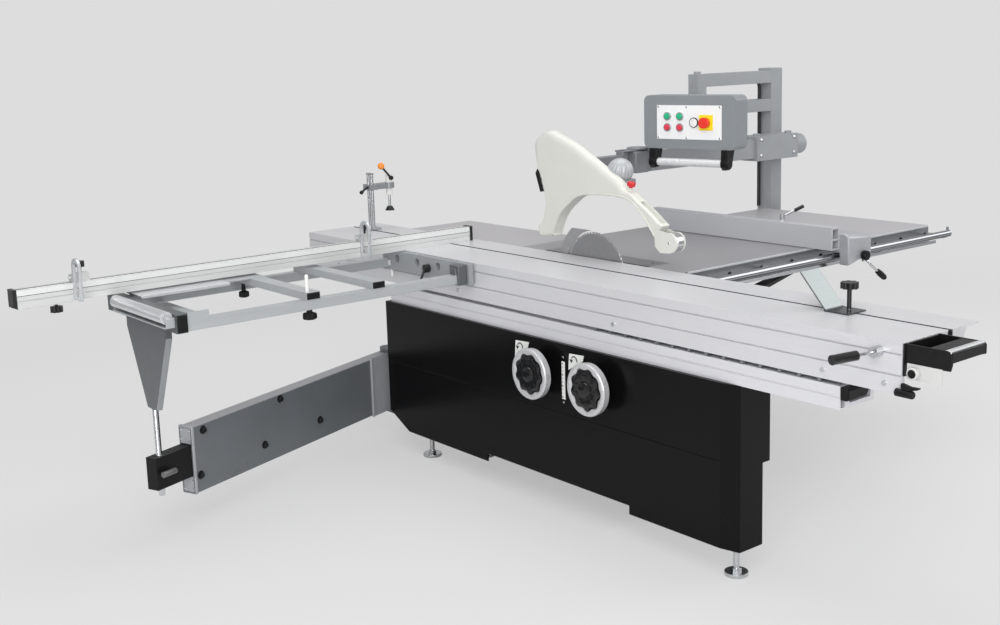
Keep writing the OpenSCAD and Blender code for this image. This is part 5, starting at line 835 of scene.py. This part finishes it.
# crosscut fence: scale tape with ticks
TICKS, TICK_FROM, TICK_STEP, TICK_HALF, TICK_Y = 75, -1940, 25, 0.7, 743.5
piece = Piece("fence_tape", "fence", white)
piece.block((-1960, 743, 946), (-90, 753, 947.7)).block((-1962, 742, 945), (-1958, 754, 948)).done()
piece = Piece("fence_ticks", "fence", ink)
for k in range(TICKS):
    x = TICK_FROM + TICK_STEP * k
    length = 9 if k % 4 == 0 else 5
    piece.block((x - TICK_HALF, TICK_Y, 947), (x + TICK_HALF, TICK_Y + length, 948.1))
piece.done()

# edging shoe: dark flank along the plate's right edge, which falls away across the plate's slope
FLANK_IN, FLANK_OUT, FLANK_DROP, FLANK_T, SLOPE_Y, SLOPE_Z = -114, -88, 12, 3, 0.74, 0.67
flank = []
for x, drop in ((FLANK_IN, 0), (FLANK_OUT, FLANK_DROP)):
    for y, z in ((-1248, 897.5), (-1164, 991)):
        flank.append((x, y + drop * SLOPE_Y, z - drop * SLOPE_Z))
under = [(x, y + FLANK_T * SLOPE_Y, z - FLANK_T * SLOPE_Z) for x, y, z in flank]
sides = [(0, 1, 3, 2), (4, 6, 7, 5), (0, 4, 5, 1), (2, 3, 7, 6), (0, 2, 6, 4), (1, 5, 7, 3)]
Piece("shoe_flank", "shoe", flank_steel).add(flank + under, sides).done(0.5)

# end box: tray with a deep left wall, wing knob, top strip, roller and its bracket
TRAY_LEFT, TRAY_RIGHT, TRAY_WALL, TRAY_END, TRAY_HALF = -386, -214, 6, -1664, -1739
WING_X, ROLLER_Y, ROLLER_Z = -407, -1701.5, 806
piece = Piece("end_tray", "table_slide", mould)
left_wall = [(TRAY_END, 884), (-1796, 884), (-1811, 874), (-1813, 848), (-1808, 828), (TRAY_END, 823)]
piece.prism(left_wall, "x", TRAY_LEFT, TRAY_LEFT + TRAY_WALL)
right_wall = [(TRAY_END, 884), (-1806, 884), (-1813, 877), (-1813, 850), (TRAY_HALF, 823), (TRAY_END, 823)]
piece.prism(right_wall, "x", TRAY_RIGHT - TRAY_WALL, TRAY_RIGHT)
inner = (TRAY_LEFT + TRAY_WALL - 0.5, TRAY_RIGHT - TRAY_WALL + 0.5)
piece.prism([(TRAY_HALF, 883), (-1806, 883), (-1812, 877), (-1812, 851), (TRAY_HALF, 824)], "x", *inner)
piece.block((inner[0], TRAY_HALF + 0.5, 824), (inner[1], TRAY_END - TRAY_WALL - 0.5, 829))
piece.block((inner[0], TRAY_END - TRAY_WALL, 824), (inner[1], TRAY_END, 883))
piece.block((TRAY_LEFT - 6, TRAY_END - 5, 790), (TRAY_LEFT + 12, TRAY_END, 883.5))
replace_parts(piece.done(1.5), "end_box")
piece = Piece("end_wing", "table_slide", mould)
piece.turned((WING_X, -1654, 747), FRONT, [(0, 10), (2, 11.5), (54, 11.5), (58, 9)], 32)
wing = [(-1676, 758), (-1700, 758), (-1728, 766), (-1730, 771), (-1702, 770), (-1674, 776), (-1672, 771)]
piece.prism(wing, "x", WING_X - 7, WING_X + 7).done(1.5)
piece = Piece("end_strip", "table_slide", pale_alu)
piece.block((-383, -1806, 882), (-217, -1790, 885)).block((-383, -1808, 876), (-217, -1803, 884)).done(1)
piece = Piece("end_roller", "table_slide", roller_grey)
tyre = [(0, 15), (1.5, 17.6), (12, 17.6), (13.5, 15), (13.5, 12), (0, 12)]
piece.turned((-405, ROLLER_Y, ROLLER_Z), X_WAY, tyre, 48, closed=True)
piece.block((-388.5, -1785, 786), (-385.8, -1676, 830)).done()
hub = [(-2, 12.4), (4.5, 12.4), (5, 11.5), (4, 5), (6.5, 4), (7, 2)]
Piece("end_hub", "table_slide", mould).turned((-402, ROLLER_Y, ROLLER_Z), LEFT, hub, 32).done()

# guide rail: bright strip along the tables' edge, lip and bolts
RAIL_TO, RAIL_BOLTS, BOLT_FROM, BOLT_STEP = 1571, 9, 60, 186
strip = [(-482, 877), (-475.5, 877), (-475.5, 884.5), (-480, 884.5), (-482, 883)]
Piece("rail_strip", "machine", pale_alu).prism(strip, "x", 16, RAIL_TO).done(0.6)
lip = [(-522, 808), (-517, 808), (-517, 818), (-519, 822), (-522, 822)]
Piece("guide_lip", "machine", polished).prism(lip, "x", 12, RAIL_TO).done(0.8)
piece = Piece("guide_bolts", "machine", mould)
for k in range(RAIL_BOLTS):
    piece.bolt((BOLT_FROM + BOLT_STEP * k, -481, 846), FRONT, 13, 6)
piece.done()

# rip fence carrier: rounded casting whose lower edge rises to the right, hub, lever with its grip
CARRIER_LEFT, CARRIER_RIGHT = 774, 924
seat = [(-592, 871), (-535, 871), (-533, 888), (-488, 888)]
left_end = [(-638, 824), (-592, 824), *seat, (-488, 938), (-502, 952), (-620, 952), (-638, 938)]
right_end = [(-638, 860), (-592, 860), *seat, (-488, 926), (-502, 938), (-620, 938), (-638, 926)]
piece = Piece("carrier_body", "carrier", carrier_mat)
ends = [(CARRIER_LEFT, *p) for p in left_end] + [(CARRIER_RIGHT, *p) for p in right_end]
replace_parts(piece.rings(ends, len(left_end)).done(9), "rip_carrier")
hub = [(0, 14), (8, 14), (10, 20), (26, 20), (30, 16), (31, 6)]
Piece("carrier_hub", "carrier", mould).turned((866, -634, 858), FRONT, hub, 36).done()
lever_path = smooth_path([(884, -634, 840), (892, -646, 828), (910, -653, 808), (942, -660, 782)])
piece = Piece("carrier_lever", "carrier", polished).tube(lever_path, 5, 14)
piece.turned((884, -632, 842), (1, -8, -8), [(0, 14), (8, 14), (10, 11)], 24).done()
grip = [(0, 7), (2, 11), (20, 13), (48, 12), (56, 9), (60, 2)]
Piece("carrier_grip", "carrier", mould).turned((937, -659, 786), (43, -7, -34), grip, 28).done()

# hold down clamp: side lever
side_lever = smooth_path([(-176, 1352, 1088), (-190, 1342, 1088), (-214, 1330, 1080), (-232, 1322, 1072)])
piece = Piece("hold_side_lever", "hold_arm", mould).tube(side_lever, 5)
piece.turned((-226, 1325, 1075), (-14, -7, -7), [(0, 6), (3, 9), (12, 9), (16, 5), (17, 1)], 24).done()

# guard arm: side bolts of the sleeve
piece = Piece("sleeve_bolts", "machine", bright)
for x in (1424, 1674):
    for z in (1158, 1234):
        piece.bolt((x, 346, z), FRONT, 16, 9)
piece.done()

# corrugated conduit in place of the plain solid: up the column, round a bend and along the upper arm
CONDUIT_X, CONDUIT_Y, BEND_R, BEND_Z = 1629, 531, 60, 1472
RIB_STEP, RIB_HIGH, RIB_LOW, RISE_STEPS, BEND_STEPS, ALONG_STEPS = 3, 9.0, 7.6, 196, 31, 89
bend_x = CONDUIT_X - BEND_R
route = [(CONDUIT_X, CONDUIT_Y, TABLE_Z + RIB_STEP * k) for k in range(RISE_STEPS)]
turns = [math.radians(90 * k / BEND_STEPS) for k in range(1, BEND_STEPS + 1)]
route += [(bend_x + BEND_R * math.cos(a), CONDUIT_Y, BEND_Z + BEND_R * math.sin(a)) for a in turns]
route += [(bend_x - RIB_STEP * k, CONDUIT_Y, BEND_Z + BEND_R) for k in range(1, ALONG_STEPS + 1)]
ribs = [RIB_HIGH if k // 2 % 2 == 0 else RIB_LOW for k in range(len(route))]
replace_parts(Piece("conduit_ribs", "machine", satin).tube(route, ribs, 14).done(), "conduit")

soften(6, "swing_arm")
soften(3, "column", "panel_arms", "cross_frame", "cross_leg", "arm_extension", "guard_boom")

# stage, light and camera
BACKGROUND = (*linear(221, 221, 221), 1)
FLOOR_RADIUS, FLOOR_DROP, FLOOR_NEAR, FLOOR_FAR, FLOOR_GLOW = 14.0, 0.0005, 3.2, 6.5, 0.6
FLOOR_GREY, ROOM_LOW, ROOM_HIGH, ROOM_LIGHT = (0.74, 0.74, 0.74, 1), (0.6, 0.6, 0.61, 1), (1, 1, 1, 1), 0.62
# the camera that was fitted to the photograph: its picture and centre in pixels, and its place
PHOTO_WIDE, PHOTO_HIGH, FOCAL, CENTRE_X, CENTRE_Y, SENSOR = 1000, 625, 1269.9, 516.1, 273.0, 36.0
YAW, PITCH, ROLL = math.radians(39.3), math.radians(-10.3), math.radians(-1.6)
CAMERA_AT = pt(-3382.3, -3634.6, 1734.3)


def make_world():
    """Even pale light, a little darker from below, with a plain background where the camera sees it."""
    world = bpy.data.worlds.new("studio")
    bpy.context.scene.world = world
    tree = Nodes(world)
    height = tree.add("SeparateXYZ", {0: tree.add("TexCoord").outputs["Generated"]}).outputs["Z"]
    ramp = tree.add("ValToRGB", {"Fac": tree.math("MULTIPLY_ADD", height, 0.5, 0.5)})
    for stop, place, colour in zip(ramp.color_ramp.elements, (0.35, 0.95), (ROOM_LOW, ROOM_HIGH)):
        stop.position, stop.color = place, colour
    room = tree.add("Background", {"Color": ramp.outputs["Color"], "Strength": ROOM_LIGHT}).outputs[0]
    seen = tree.add("Background", {"Color": BACKGROUND, "Strength": 1.0}).outputs[0]
    light = tree.mix_shaders(tree.add("LightPath").outputs["Is Camera Ray"], room, seen)
    tree.add("OutputWorld", {"Surface": light})


def make_floor():
    """A round pale floor that keeps the shadow and fades into the background."""
    bm = bmesh.new()
    bmesh.ops.create_circle(bm, cap_ends=True, segments=96, radius=FLOOR_RADIUS)
    mesh = bpy.data.meshes.new("floor")
    bm.to_mesh(mesh)
    bm.free()
    floor = new_object("floor", mesh)
    floor.location = (0, 0, -FLOOR_DROP)
    material = bpy.data.materials.new("floor_pale")
    tree = Nodes(material)
    matt = tree.add("BsdfDiffuse", {"Color": FLOOR_GREY}).outputs[0]
    glow = tree.add("Emission", {"Color": BACKGROUND}).outputs[0]
    seen = tree.math("MULTIPLY", tree.add("LightPath").outputs["Is Camera Ray"], FLOOR_GLOW)
    near = tree.mix_shaders(seen, matt, glow)
    away = tree.vector("LENGTH", tree.add("NewGeometry").outputs["Position"], out="Value")
    reach = {"Value": away, "From Min": FLOOR_NEAR, "From Max": FLOOR_FAR}
    fade = tree.add("MapRange", reach, interpolation_type="SMOOTHSTEP").outputs["Result"]
    faded = tree.mix_shaders(fade, near, tree.add("BsdfTransparent").outputs[0])
    tree.add("OutputMaterial", {"Surface": faded})
    mesh.materials.append(material)
    floor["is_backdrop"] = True


def softbox(name, place, target, size, power):
    """A rectangular lamp aimed at a point, its power in watts."""
    data = bpy.data.lights.new(name, "AREA")
    data.shape = "RECTANGLE"
    data.size, data.size_y = size
    data.energy = power
    lamp = new_object(name, data)
    lamp.location = place
    lamp.rotation_mode = "QUATERNION"
    lamp.rotation_quaternion = (Vector(target) - Vector(place)).to_track_quat("-Z", "Y")


def make_camera():
    """The fitted camera, with its centre set by lens shift."""
    ahead = Vector((math.sin(YAW) * math.cos(PITCH), math.cos(YAW) * math.cos(PITCH), math.sin(PITCH)))
    right = Vector((math.cos(YAW), -math.sin(YAW), 0))
    up = right.cross(ahead)
    rolled_right = right * math.cos(ROLL) + up * math.sin(ROLL)
    rolled_up = up * math.cos(ROLL) - right * math.sin(ROLL)
    data = bpy.data.cameras.new("camera")
    data.sensor_width = SENSOR
    data.lens = SENSOR * FOCAL / PHOTO_WIDE
    data.shift_x = (PHOTO_WIDE / 2 - CENTRE_X) / PHOTO_WIDE
    data.shift_y = -(PHOTO_HIGH / 2 - CENTRE_Y) / PHOTO_WIDE
    data.clip_end = 100
    camera = new_object("camera", data)
    turn = Matrix((rolled_right, rolled_up, -ahead)).transposed()
    camera.matrix_world = Matrix.Translation(CAMERA_AT) @ turn.to_4x4()
    bpy.context.scene.camera = camera


make_world()
make_floor()
softbox("key", (-3.6, -3.4, 4.6), (0, 0, 0.7), (3.2, 2.4), 110)
softbox("front", (-9.2, -8.4, 2.4), (0.2, 0, 0.8), (7.0, 4.6), 540)
softbox("near", (-2.8, -4.6, 2.3), (-0.1, -1.3, 0.85), (1.8, 1.3), 30)
softbox("top", (0.4, 0.6, 5.4), (0.2, 0.2, 0), (5.0, 4.0), 110)
softbox("fill", (4.6, -2.6, 3.2), (0.2, 0, 0.8), (3.0, 2.6), 60)
make_camera()
bpy.context.scene.view_settings.view_transform = "Standard"

low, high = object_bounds()
